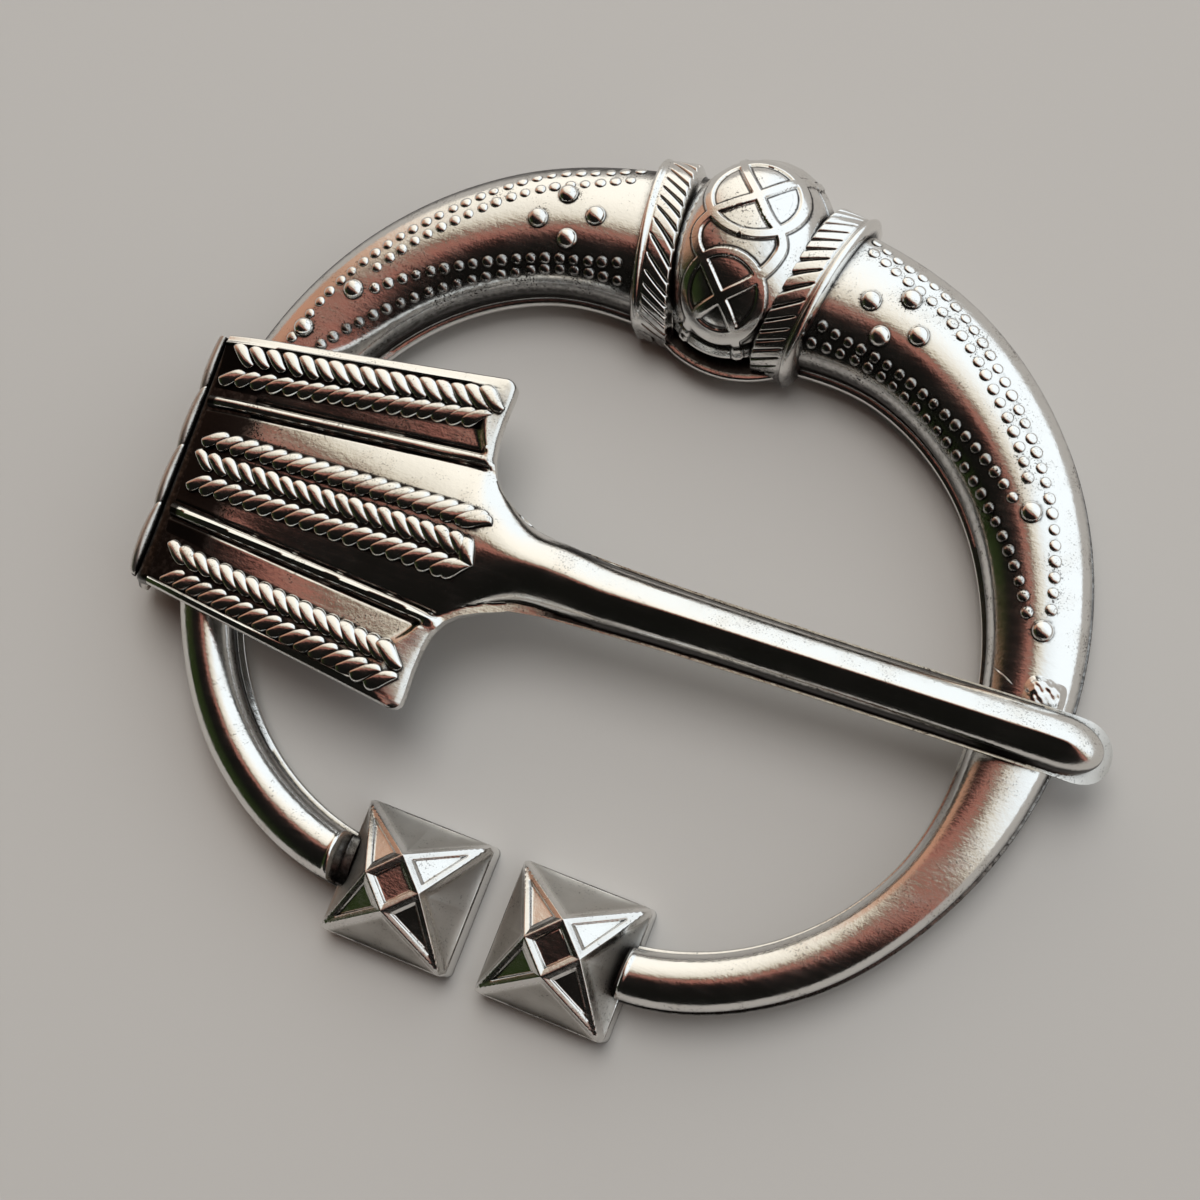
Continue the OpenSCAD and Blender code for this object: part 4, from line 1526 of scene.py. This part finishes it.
    def head_hollow(self, at: HeadPlace) -> np.ndarray:
        """How dark the polishing left the head's top.

        Args:
            at: where the points lie.

        Returns:
            The depth of each point, as in a hollow.
        """
        off_crest = np.abs(at.rib)
        deep = 0.22 * at.outside * ease(0.7, 0.9, at.inset)
        deep = np.maximum(deep, 0.95 * hill(off_crest - 0.58, 0.11) * at.standing * ease(0.2, 1.0, at.end))
        deep = np.maximum(deep, 0.85 * hill(at.side - 0.86, 0.1) * at.wing * ease(0.5, 1.5, at.end))
        on_rib = ease(0.45, 0.3, off_crest) * ease(0.4, 0.9, at.x)
        raised = np.maximum(on_rib, ease(0.78, 0.66, at.inset))
        deep = np.maximum(deep, ease(6.5, 2.0, at.x) * (1 - raised))
        for first_y, last_y, first_x, last_x in self.rope_rows:
            rope_y = first_y + (last_y - first_y) * (at.x - first_x) / (last_x - first_x)
            near = ease(1.0, 0.78, np.abs(at.y - rope_y)) * ease(last_x + 1.2, last_x + 0.4, at.x)
            deep = np.maximum(deep, 0.85 * near * (1 - raised))
        matt = 0.35 * ease(0.8, 0.5, at.inset) * at.wing * (at.inward < at.side) * (deep < 0.1)
        return deep - matt


@dataclass
class Blade:
    """The pin's head plate, shank and tip in one piece."""

    form: PinForm
    head_rows: int = 136
    side_columns: int = 74
    middle_columns: int = 69
    shank_rows: int = 96
    tip_rows: int = 56
    # lengths past the bend: the plate's end, its first narrowing, the body's end, its first fall
    tip_length: float = 5.45
    tip_narrows: float = 2.7
    body_length: float = 4.25
    body_falls: float = 1.5
    tip_turn: float = 50.0
    # the last ring stays this share of the way to the plate's end, so that it keeps some width
    tip_share: float = 0.995

    def shares(self) -> np.ndarray:
        """Places the head's columns, closer together where the shank leaves it.

        Returns:
            Shares of the half width, from -1 to 1.
        """
        neck = self.form.neck_half / float(self.form.head_half(self.form.neck_x))
        side = np.linspace(neck, 1.0, self.side_columns)[1:]
        middle = np.linspace(-neck, neck, self.middle_columns)
        return np.concatenate([-side[::-1], middle, side])

    def head(self, wax: Wax) -> None:
        """Adds the head plate with its walls and underside.

        Args:
            wax: the mesh in the making.
        """
        share = self.shares()[None, :]
        part = np.linspace(0, 1, self.head_rows)[:, None]
        x = part * self.form.end_edge(share)
        y = share * self.form.head_half(x)
        height, hollow = self.form.head_top(x, y)
        under = self.form.under(x)
        bend = self.form.bend(x)
        across = y + self.form.shift(x)
        along = x + self.form.skew(x, y)
        top = np.stack([along, across, under + height - bend], axis=-1)
        below = np.stack([along, across, under - 0.15 * bend], axis=-1)
        first_top = wax.sheet(top, hollow)
        first_below = wax.sheet(below, 0.3)
        columns = share.shape[1]
        rows = self.head_rows
        side = self.side_columns - 1
        edges = [[(i, 0) for i in range(rows)], [(i, columns - 1) for i in range(rows)]]
        edges += [[(0, j) for j in range(columns)]]
        for start in (0, columns - 1 - side):
            edges += [[(rows - 1, j) for j in range(start, start + side + 1)]]
        for edge in edges:
            for a, b in zip(edge[:-1], edge[1:]):
                i, j = a[0] * columns + a[1], b[0] * columns + b[1]
                wax.faces.append((first_top + i, first_top + j, first_below + j, first_below + i))

    def section(self, x: float) -> tuple[np.ndarray, np.ndarray, np.ndarray]:
        """Section of the shank's top, which starts as the head's own top.

        Args:
            x: distance from the fold.

        Returns:
            Distances across, heights over the underside, and the top's darkness from patina and painted
            shade.
        """
        share = np.linspace(-1, 1, self.middle_columns)
        if x <= self.form.neck_x + MERGE_GAP:
            y = share * self.form.neck_half
            height, hollow = self.form.head_top(np.full_like(y, x), y)
            return y, height, hollow
        y = share * float(line(self.form.shank_rows, x, 1))
        height = self.form.swelling(np.full_like(y, x), y)
        return y, height, self.painted_foot_shade(np.abs(y) / flow(self.form.body_rows, x, 3), x)

    def painted_foot_shade(self, share: np.ndarray, x: float) -> np.ndarray:
        """Painted shade on the body's steep feet, standing in for the dark surroundings that they would
        mirror.
        """
        return 0.9 * ease(0.78, 0.92, share) * ease(1.1, 1.03, share) * float(ease(26.0, 30.0, x))

    def shank(self, wax: Wax) -> None:
        """Adds the shank and the bent tip.

        Args:
            wax: the mesh in the making.
        """
        rows: list[np.ndarray] = []
        hollows: list[np.ndarray] = []
        for x in np.linspace(self.form.neck_x, self.form.bend_x, self.shank_rows):
            y, height, hollow = self.section(float(x))
            under = float(self.form.under(x))
            self.ring_round(rows, hollows, (float(x), under, 0.0), y, height, hollow)
        self.tip(rows, hollows, under)
        points = np.stack(rows)
        first = wax.sheet(points, np.stack(hollows), ring=True)
        columns = points.shape[1]
        last = first + (points.shape[0] - 1) * columns
        wax.faces.append(tuple(last + j for j in range(columns)))

    def ring_round(
        self,
        rows: list[np.ndarray],
        hollows: list[np.ndarray],
        place: tuple[float, float, float],
        y: np.ndarray,
        height: np.ndarray,
        hollow: np.ndarray,
    ) -> None:
        """Adds one closed ring of points round the shank.

        Args:
            rows: rings of points so far.
            hollows: their patina and painted shade so far.
            place: distance from the fold, height of the underside, turn of the ring in degrees.
            y: distances across.
            height: heights over the underside.
            hollow: darkness of the top's points, from patina and painted shade.
        """
        x, under, turn = place
        forward, upward = math.sin(math.radians(turn)), math.cos(math.radians(turn))
        top = np.stack([x + height * forward, y, under + height * upward], axis=-1)
        below = np.stack([np.full_like(y, x), y, np.full_like(y, under)], axis=-1)[::-1]
        rows.append(np.concatenate([top, below]))
        hollows.append(np.concatenate([hollow, 0.3 * np.ones_like(hollow)]))

    def tip(self, rows: list[np.ndarray], hollows: list[np.ndarray], under: float) -> None:
        """Adds the rings of the tip: a rounded plate that bends down, under a body that ends before it.

        Args:
            rows: rings of points so far.
            hollows: their patina and painted shade so far.
            under: height of the underside where the bend starts.
        """
        crest, half, floor = (float(flow(self.form.body_rows, self.form.bend_x, c)) for c in (2, 3, 4))
        wide = float(line(self.form.shank_rows, self.form.bend_x, 1))
        x, step = self.form.bend_x, self.tip_share * self.tip_length / self.tip_rows
        for number in range(1, self.tip_rows + 1):
            run = number * step
            turn = self.tip_turn * (run / self.tip_length) ** 1.3
            x += step * math.cos(math.radians(turn))
            under -= step * math.sin(math.radians(turn))
            narrowing = max(run - self.tip_narrows, 0.0) / (self.tip_length - self.tip_narrows)
            y = np.linspace(-1, 1, self.middle_columns) * wide * math.sqrt(1 - narrowing**2)
            falling = max(run - self.body_falls, 0.0) / (self.body_length - self.body_falls)
            share = np.clip(np.hypot(y / half, falling), 0, 1)
            height = floor + (crest - floor) * self.form.gable(share)
            hollow = np.where(share < 1, self.painted_foot_shade(share, x), -0.8 * min(falling, 1.0))
            self.ring_round(rows, hollows, (x, under, turn), y, height, hollow)

    def build(self, bench: Bench) -> bpy.types.Object:
        """Builds the blade.

        Args:
            bench: where the pin's frame sits.

        Returns:
            The blade's object.
        """
        wax = Wax()
        self.head(wax)
        self.shank(wax)
        return wax.cast("pin_blade", bench, PIN_SILVER, Casting.PIN)


@dataclass
class Ropes:
    """The seven ropes of relief on the head."""

    form: PinForm
    pitch: float = 1.15
    strand_height: float = 0.34
    strand_lift: float = 0.1
    # how far a rope's edges fall below its middle, and at what distance from it
    drape: float = 0.22
    half_width: float = 0.95
    # lean, strand width, strand length, tilt
    rows: list[tuple[float, ...]] = field(
        default_factory=lambda: [
            (-29, 1.12, 2.55, 8), (24, 1.05, 2.45, -4), (23, 1.05, 2.45, 4), (-30, 1.08, 2.4, 1),
            (24, 1.05, 2.45, -4), (-29, 1.14, 2.6, 8), (24, 1.05, 2.45, -5),
        ]
    )
    # the strand that closes each middle rope: distance from the fold, place across, lean, length, width
    end_strands: dict[int, tuple[float, ...]] = field(
        default_factory=lambda: {
            3: (22.2, 1.85, 8, 2.5, 1.1),
            4: (22.4, -0.35, -52, 2.4, 1.2),
            5: (22.0, -1.75, 26, 2.3, 1.1),
        }
    )

    def strand(
        self, wax: Wax, middle: np.ndarray, row: tuple[float, ...], size: tuple[float, float, float]
    ) -> None:
        """Adds one leaf-shaped strand to the wax.

        Args:
            wax: the mesh in the making.
            middle: the strand's middle.
            row: its lean from the pin's length and its tilt towards the bead side, in degrees.
            size: its length, width and height.
        """
        s = np.linspace(0, np.pi, 19)[:, None]
        turn = np.linspace(0, 2 * np.pi, 18, endpoint=False)[None, :]
        body = np.sin(s) ** 0.62 * (1 + 0.16 * np.cos(s))
        x = -size[0] / 2 * np.cos(s) * np.ones_like(turn)
        bow = 0.075 * size[0] * np.sin(2 * s) * math.copysign(1, -row[0])
        side = np.cos(turn)
        y = size[1] / 2 * body * np.sign(side) * np.abs(side) ** 0.85 + bow
        up = np.sin(turn)
        z = size[2] * np.sin(s) ** 0.5 * np.sign(up) * np.abs(up) ** 0.62
        ahead, aside = math.cos(math.radians(row[0])), math.sin(math.radians(row[0]))
        across = x * aside + y * ahead
        z = z - across * math.tan(math.radians(row[1])) - self.drape * np.abs(across / self.half_width) ** 3
        points = np.stack([x * ahead - y * aside, across, z], axis=-1) + middle
        wax.sheet(points, 0.85 * ease(0.34, 0.02, up * np.sin(s)), ring=True)

    def build(self, bench: Bench) -> None:
        """Builds the seven ropes, one piece each.

        Args:
            bench: where the pin's frame sits.
        """
        for number, (line_row, row) in enumerate(zip(self.form.rope_rows, self.rows), start=1):
            wax = Wax()
            first_y, last_y, start, stop = line_row
            count = round((stop - start) / self.pitch)
            for i in range(count + 1):
                t = i / count
                grow = (0.88 + 0.12 * t) * (1 + 0.04 * math.sin(2.1 * i + number))
                size = (row[2] * grow, row[1] * grow, self.strand_height)
                place = self.seat(start + (stop - start) * t, first_y + (last_y - first_y) * t)
                self.strand(wax, place, (row[0] + 2 * math.sin(1.3 * i), row[3]), size)
            if number in self.end_strands:
                x, y, lean, length, width = self.end_strands[number]
                self.strand(wax, self.seat(x, y), (lean, row[3]), (length, width, self.strand_height))
            wax.cast(f"rope_{number}", bench, PIN_SILVER, Casting.PIN)

    def seat(self, x: float, y: float) -> np.ndarray:
        """The place of a strand's middle on the head.

        Args:
            x: distance from the fold.
            y: distance from the relief's middle line.

        Returns:
            The place in the pin's frame.
        """
        height = self.form.head_top(np.array(x), np.array(y))[0]
        floor = float(self.form.under(x) + height - self.form.bend(x))
        along = x + float(self.form.skew(x, y))
        return np.array([along, y + float(self.form.shift(x)), floor + self.strand_lift])


@dataclass
class Fold:
    """The band that folds round the hoop, its strap and the twisted cord on its outer face."""

    form: PinForm
    outer_x: float = -2.35
    inner_x: float = 7.7
    top: float = 7.62
    # start, radius and turn of the crease between the head's top and the slanted outer face
    crease_x: float = 0.0
    crease: float = 0.45
    slant: float = 70.0
    corner: float = 1.7
    band: float = 0.85
    half: float = 9.42
    # how far the outer face lies out, and how far the cord's lobes lie to the bead side
    outer_shift: float = -0.4
    lobe_shift: float = 0.45
    strap_half: float = 4.5
    lobes: int = 4
    # middle of the slanted face: distance from the fold, height
    cord_place: tuple[float, float] = (-1.2, 6.1)
    # how far the band lies under the plate, its top inside the hoop, its height where it starts to narrow
    overlap: float = 3.4
    inner_top: float = 7.0
    strap_start: float = 1.9

    def track(self) -> tuple[np.ndarray, np.ndarray]:
        """The band's middle line from the plate round the hoop and back up.

        Returns:
            Points (x, z) along the line, and the half width at each.
        """
        low, high = self.band / 2, self.top - self.band / 2
        left, right = self.outer_x + self.band / 2, self.inner_x - self.band / 2
        r = self.corner - self.band / 2
        slant = math.radians(self.slant)
        tops = np.linspace(self.overlap, 0.15, 9)
        points = [(x, high - 0.05 - float(self.form.bend(x))) for x in tops]
        turned = np.linspace(math.radians(13), slant, 8)
        x, z = self.crease_x + 0.1, points[-1][1] - self.crease
        points += [(x - self.crease * math.sin(t), z + self.crease * math.cos(t)) for t in turned]
        x, z = points[-1]
        run = (x - left - 0.12) / math.cos(slant)
        points += [(x - s * math.cos(slant), z - s * math.sin(slant)) for s in np.linspace(0, run, 9)[1:]]
        points += [(left, height) for height in np.linspace(points[-1][1] - 0.35, low + r, 8)[:-1]]
        quarter = np.linspace(0, np.pi / 2, 12)
        points += [(left + r - r * math.cos(t), low + r - r * math.sin(t)) for t in quarter]
        points += [(x, low) for x in np.linspace(left + r, right - r, 16)[1:-1]]
        points += [(right - r + r * math.sin(t), low + r - r * math.cos(t)) for t in quarter]
        points += [(right, z) for z in np.linspace(low + r, self.inner_top, 12)[1:]]
        path = np.array(points)
        run = np.concatenate([[0.0], np.cumsum(np.hypot(*np.diff(path, axis=0).T))])
        below = run[np.argmin(np.abs(path[:, 1] - low - self.strap_start) + 9 * (path[:, 0] > 0))]
        half = self.half + (self.strap_half - self.half) * ease(below - 0.2, below + 2.6, run)
        return path, half

    def build(self, bench: Bench) -> None:
        """Builds the folded band and the twisted cord.

        Args:
            bench: where the pin's frame sits.
        """
        path, half = self.track()
        slope = np.gradient(path, axis=0)
        normal = np.stack([slope[:, 1], -slope[:, 0]], axis=-1)
        normal /= np.linalg.norm(normal, axis=1, keepdims=True)
        across = np.concatenate([[-1, -0.992, -0.975], np.linspace(-0.94, 0.94, 45), [0.975, 0.992, 1]])
        thin = np.concatenate([[0.55, 0.85, 0.97], np.ones(45), [0.97, 0.85, 0.55]]) * self.band / 2
        outside = path[:, None, :] - normal[:, None, :] * thin[None, :, None]
        inside = path[:, None, :] + normal[:, None, :] * thin[None, ::-1, None]
        y = half[:, None] * across[None, :]
        first = np.stack([outside[..., 0], y, outside[..., 1]], axis=-1)
        second = np.stack([inside[..., 0], y[:, ::-1], inside[..., 1]], axis=-1)
        points = self.leaned(np.concatenate([first, second], axis=1))
        hollow = np.full(points.shape[:2], 0.8)
        wall = -0.6 * ease(4.3, 3.6, path[:, 1:])
        strap = -0.4 * (path[:, :1] >= 4.0)
        hollow[:, : first.shape[1]] = (ease(3.9, 4.6, path[:, 1:]) + wall) * (path[:, :1] < 4.0) + strap
        Wax.closed(points, hollow).cast("pin_fold", bench, PIN_SILVER, Casting.PIN)
        self.cord().cast("fold_cord", bench, PIN_SILVER, Casting.PIN)

    def leaned(self, points: np.ndarray) -> np.ndarray:
        """Moves points with the fold's leaning line and the relief's middle line.

        Args:
            points: points of the fold as if it stood square to the pin.

        Returns:
            The points where they belong.
        """
        moved = points.copy()
        outer = ease(self.crease_x - 0.1, self.crease_x - 0.9, points[..., 0])
        lean = self.form.skew(points[..., 0], points[..., 1])
        moved[..., 0] += lean + (self.outer_shift - lean) * outer
        moved[..., 1] += self.form.shift(points[..., 0]) * ease(0.0, 5.0, points[..., 2])
        return moved

    def cord(self) -> Wax:
        """Lays long lobes that overlap along the fold's outer face, as a twisted cord.

        Returns:
            The cord's wax.
        """
        wax = Wax()
        pitch = 2 * (self.half - 0.3) / self.lobes
        for i in range(self.lobes):
            s = np.linspace(0, np.pi, 33)[:, None]
            turn = np.linspace(0, 2 * np.pi, 24, endpoint=False)[None, :]
            body = np.sin(s) ** 0.7
            run = -1.25 * pitch / 2 * np.cos(s) * np.ones_like(turn)
            rise = 0.85 * body * np.cos(turn) - 0.45 * np.cos(s) ** 3
            out = (0.48 * np.sin(turn) + 0.28) * body - 0.15
            y = (i + 0.5) * pitch - self.half + 0.3 + self.lobe_shift + run
            keep = np.clip(y, -self.half, self.half)
            level, steep = math.cos(math.radians(self.slant)), math.sin(math.radians(self.slant))
            x = self.cord_place[0] + rise * level - out * steep
            z = self.cord_place[1] + rise * steep + out * level
            points = np.stack([x, keep, z], axis=-1)
            wax.sheet(self.leaned(points), 1.5 * ease(0.5, 0.15, np.sin(s)) - 0.6 + 0 * turn, ring=True)
        return wax


@dataclass
class Pin:
    """The cast pin, made of its blade, ropes and fold."""

    bench: Bench
    form: PinForm = field(default_factory=PinForm)

    def build(self) -> None:
        """Builds every piece of the pin."""
        blade = Blade(self.form).build(self.bench)
        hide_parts(Casting.PIN.value)
        Ropes(self.form).build(self.bench)
        Fold(self.form).build(self.bench)


# Studio
@dataclass
class Studio:
    """Floor, light and camera."""

    ring_bench: Bench
    target: tuple[float, float] = (-0.868, -1.267)
    azimuth: float = 59.765
    elevation: float = 73.951
    roll: float = -39.046
    distance: float = 142.572
    lens: float = 60.0
    sensor: float = 36.0
    floor_colour: tuple[float, float, float, float] = (0.50, 0.48, 0.455, 1.0)
    floor_reach: float = 1.6
    # tints of the surroundings: cool on the right, copper far on the left, green near on the left
    cool: tuple[float, float, float, float] = (0.86, 0.94, 1.0, 1.0)
    copper: tuple[float, float, float, float] = (0.62, 0.34, 0.22, 1.0)
    green: tuple[float, float, float, float] = (0.022, 0.034, 0.010, 1.0)
    # the soft lamp, in metres and watts
    lamp_size: float = 0.45
    lamp_distance: float = 0.7
    lamp_power: float = 2.2
    # the surroundings from the dark side to the bright side: place from -1 to 1, colour
    stops: list[tuple[float, tuple[float, float, float]]] = field(
        default_factory=lambda: [
            (-1.0, (0.006, 0.006, 0.005)),
            (-0.30, (0.009, 0.008, 0.007)),
            (-0.15, (0.022, 0.012, 0.010)),
            (-0.09, (0.34, 0.135, 0.105)),
            (-0.02, (0.50, 0.205, 0.155)),
            (0.02, (0.12, 0.065, 0.045)),
            (0.055, (0.10, 0.07, 0.05)),
            (0.10, (0.72, 0.64, 0.50)),
            (0.20, (0.93, 0.88, 0.77)),
            (1.0, (1.0, 0.98, 0.92)),
        ]
    )

    def camera_turn(self) -> Matrix:
        """Works out the camera's turn from its angles.

        Returns:
            The camera's axes: right, up and backwards.
        """
        az, el, roll = (math.radians(a) for a in (self.azimuth, self.elevation, self.roll))
        back = Vector((math.sin(az) * math.cos(el), -math.cos(az) * math.cos(el), math.sin(el)))
        right = (-back).cross(Vector((0, 0, 1))).normalized()
        up = right.cross(-back)
        turned_right = math.cos(roll) * right + math.sin(roll) * up
        turned_up = -math.sin(roll) * right + math.cos(roll) * up
        return Matrix((turned_right, turned_up, back)).transposed()

    def camera(self, back_lift: float) -> None:
        """Places the camera at the photo's angle.

        Args:
            back_lift: height of the hoop's back, the plane that the angle was read on.
        """
        data = bpy.data.cameras.new("camera")
        data.sensor_fit = "HORIZONTAL"
        data.sensor_width = self.sensor
        data.lens = self.lens
        data.clip_start = 0.005
        turn = self.camera_turn()
        middle = Vector((self.target[0] + self.ring_bench.x, self.target[1] + self.ring_bench.y, back_lift))
        camera = bpy.data.objects.new("camera", data)
        camera.matrix_world = Matrix.Translation((middle + turn.col[2] * self.distance) * MM) @ turn.to_4x4()
        bpy.context.scene.collection.objects.link(camera)
        bpy.context.scene.camera = camera

    def floor(self) -> None:
        """Lays a plain pale floor under the brooch."""
        mesh = bpy.data.meshes.new("floor")
        reach = self.floor_reach
        corners = [(-reach, -reach, 0), (reach, -reach, 0), (reach, reach, 0), (-reach, reach, 0)]
        mesh.from_pydata(corners, [], [(0, 1, 2, 3)])
        made = bpy.data.materials.new("floor")
        made.use_nodes = True
        board = NodeBoard(made.node_tree)
        paint = made.node_tree.nodes["Principled BSDF"]
        where = board.node("ShaderNodeTexCoord").outputs["Object"]
        grain = board.noise(where, 900.0, 4.0)
        paint.inputs["Base Color"].default_value = self.floor_colour
        paint.inputs["Roughness"].default_value = 0.85
        bump = board.node("ShaderNodeBump")
        bump.inputs["Strength"].default_value = 0.08
        bump.inputs["Distance"].default_value = 0.1 * MM
        board.feed(bump.inputs["Height"], grain)
        board.feed(paint.inputs["Normal"], bump.outputs["Normal"])
        mesh.materials.append(made)
        floor = bpy.data.objects.new("floor", mesh)
        bpy.context.scene.collection.objects.link(floor)

    def sky(self) -> None:
        """Sets up soft surroundings: dark on one side, bright on the other, a warm band in between."""
        world = bpy.data.worlds.new("studio")
        world.use_nodes = True
        bpy.context.scene.world = world
        board = NodeBoard(world.node_tree)
        turn = self.camera_turn()
        flat_up = Vector((turn.col[1].x, turn.col[1].y, 0)).normalized()
        flat_right = Vector((turn.col[0].x, turn.col[0].y, 0)).normalized()
        where = board.node("ShaderNodeTexCoord").outputs["Generated"]
        far = self.along(board, where, flat_up)
        right = self.along(board, where, flat_right)
        lean = board.math("MULTIPLY", board.math("ADD", far, right), math.sqrt(0.5))
        ramp = board.node("ShaderNodeValToRGB")
        board.feed(ramp.inputs["Fac"], board.math("MULTIPLY_ADD", lean, 0.5, 0.5))
        for element, (place, colour) in zip(ramp.color_ramp.elements, (self.stops[0], self.stops[-1])):
            element.position = (place + 1) / 2
            element.color = (*colour, 1.0)
        for place, colour in self.stops[1:-1]:
            ramp.color_ramp.elements.new((place + 1) / 2).color = (*colour, 1.0)
        lit = board.span(lean, 0.05, 0.35, 0.0, 1.0)
        cool_share = board.math("MULTIPLY", lit, board.span(right, -0.05, 0.35, 0.0, 0.9))
        tinted = board.blend(cool_share, ramp.outputs["Color"], self.cool)
        cross = board.math("MULTIPLY", board.math("SUBTRACT", far, right), math.sqrt(0.5))
        far_left = board.span(cross, 0.72, 0.92, 0.0, 0.8)
        copper_share = board.math("MULTIPLY", far_left, board.span(lean, 0.34, 0.12, 0.0, 1.0))
        tinted = board.blend(copper_share, tinted, self.copper)
        left = board.span(right, -0.72, -0.97, 0.0, 1.0)
        green_share = board.math("MULTIPLY", left, board.span(far, 0.45, 0.05, 0.0, 1.0))
        tinted = board.blend(green_share, tinted, self.green)
        back = world.node_tree.nodes["Background"]
        board.feed(back.inputs["Color"], tinted)
        board.feed(back.inputs["Strength"], board.span(lean, 0.1, 0.5, 1.0, 1.35))

    def along(self, board: NodeBoard, where: bpy.types.NodeSocket, way: Vector) -> bpy.types.NodeSocket:
        """Measures how far a direction points along a level way.

        Args:
            board: the node tree.
            where: socket of the direction.
            way: the level way, of length 1.

        Returns:
            The socket of the share, from -1 to 1.
        """
        made = board.node("ShaderNodeVectorMath", operation="DOT_PRODUCT")
        board.feed(made.inputs[0], where)
        made.inputs[1].default_value = way
        return made.outputs["Value"]

    def lamp(self) -> None:
        """A large soft lamp overhead that lights the floor but is not mirrored in the silver."""
        data = bpy.data.lights.new("soft_lamp", "AREA")
        data.shape = "DISK"
        data.size = self.lamp_size
        data.energy = self.lamp_power
        lamp = bpy.data.objects.new("soft_lamp", data)
        turn = self.camera_turn()
        towards = (turn.col[1] * 0.42 + turn.col[0] * 0.1 + Vector((0, 0, 1))).normalized()
        facing = towards.to_track_quat("Z", "Y").to_matrix().to_4x4()
        lamp.matrix_world = Matrix.Translation(towards * self.lamp_distance) @ facing
        lamp.visible_glossy = False
        bpy.context.scene.collection.objects.link(lamp)

    def build(self, back_lift: float) -> None:
        """Sets up the whole studio.

        Args:
            back_lift: height of the hoop's back.
        """
        self.camera(back_lift)
        self.floor()
        self.sky()
        self.lamp()
        bpy.context.scene.view_settings.view_transform = "Standard"


def benches() -> tuple[Bench, Bench]:
    """The frames of the ring and of the pin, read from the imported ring's box.

    Returns:
        The ring's bench and the pin's bench.
    """
    low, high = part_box(Casting.RING.value)
    # distances of the bead's end and of the fold from the hoop's centre, and the pin's slant over the hoop
    bead_end = 32.9
    fold_x, fold_y = -31.5, -2.9
    pin_heading = math.radians(2.04)
    ring = Bench((low[0] + high[0]) / 2 / MM, high[1] / MM - bead_end, 0.0)
    pin = Bench(ring.x + fold_x, ring.y + fold_y, pin_heading)
    return ring, pin


def main() -> None:
    """Builds the brooch and its studio."""
    logging.basicConfig(level=logging.INFO, format="%(name)s: %(message)s")
    ring_bench, pin_bench = benches()
    ring = Ring(bench=ring_bench)
    ring.build()
    Pin(pin_bench).build()
    Studio(ring_bench).build(ring.form.back_lift)


if __name__ == "__main__":
    main()
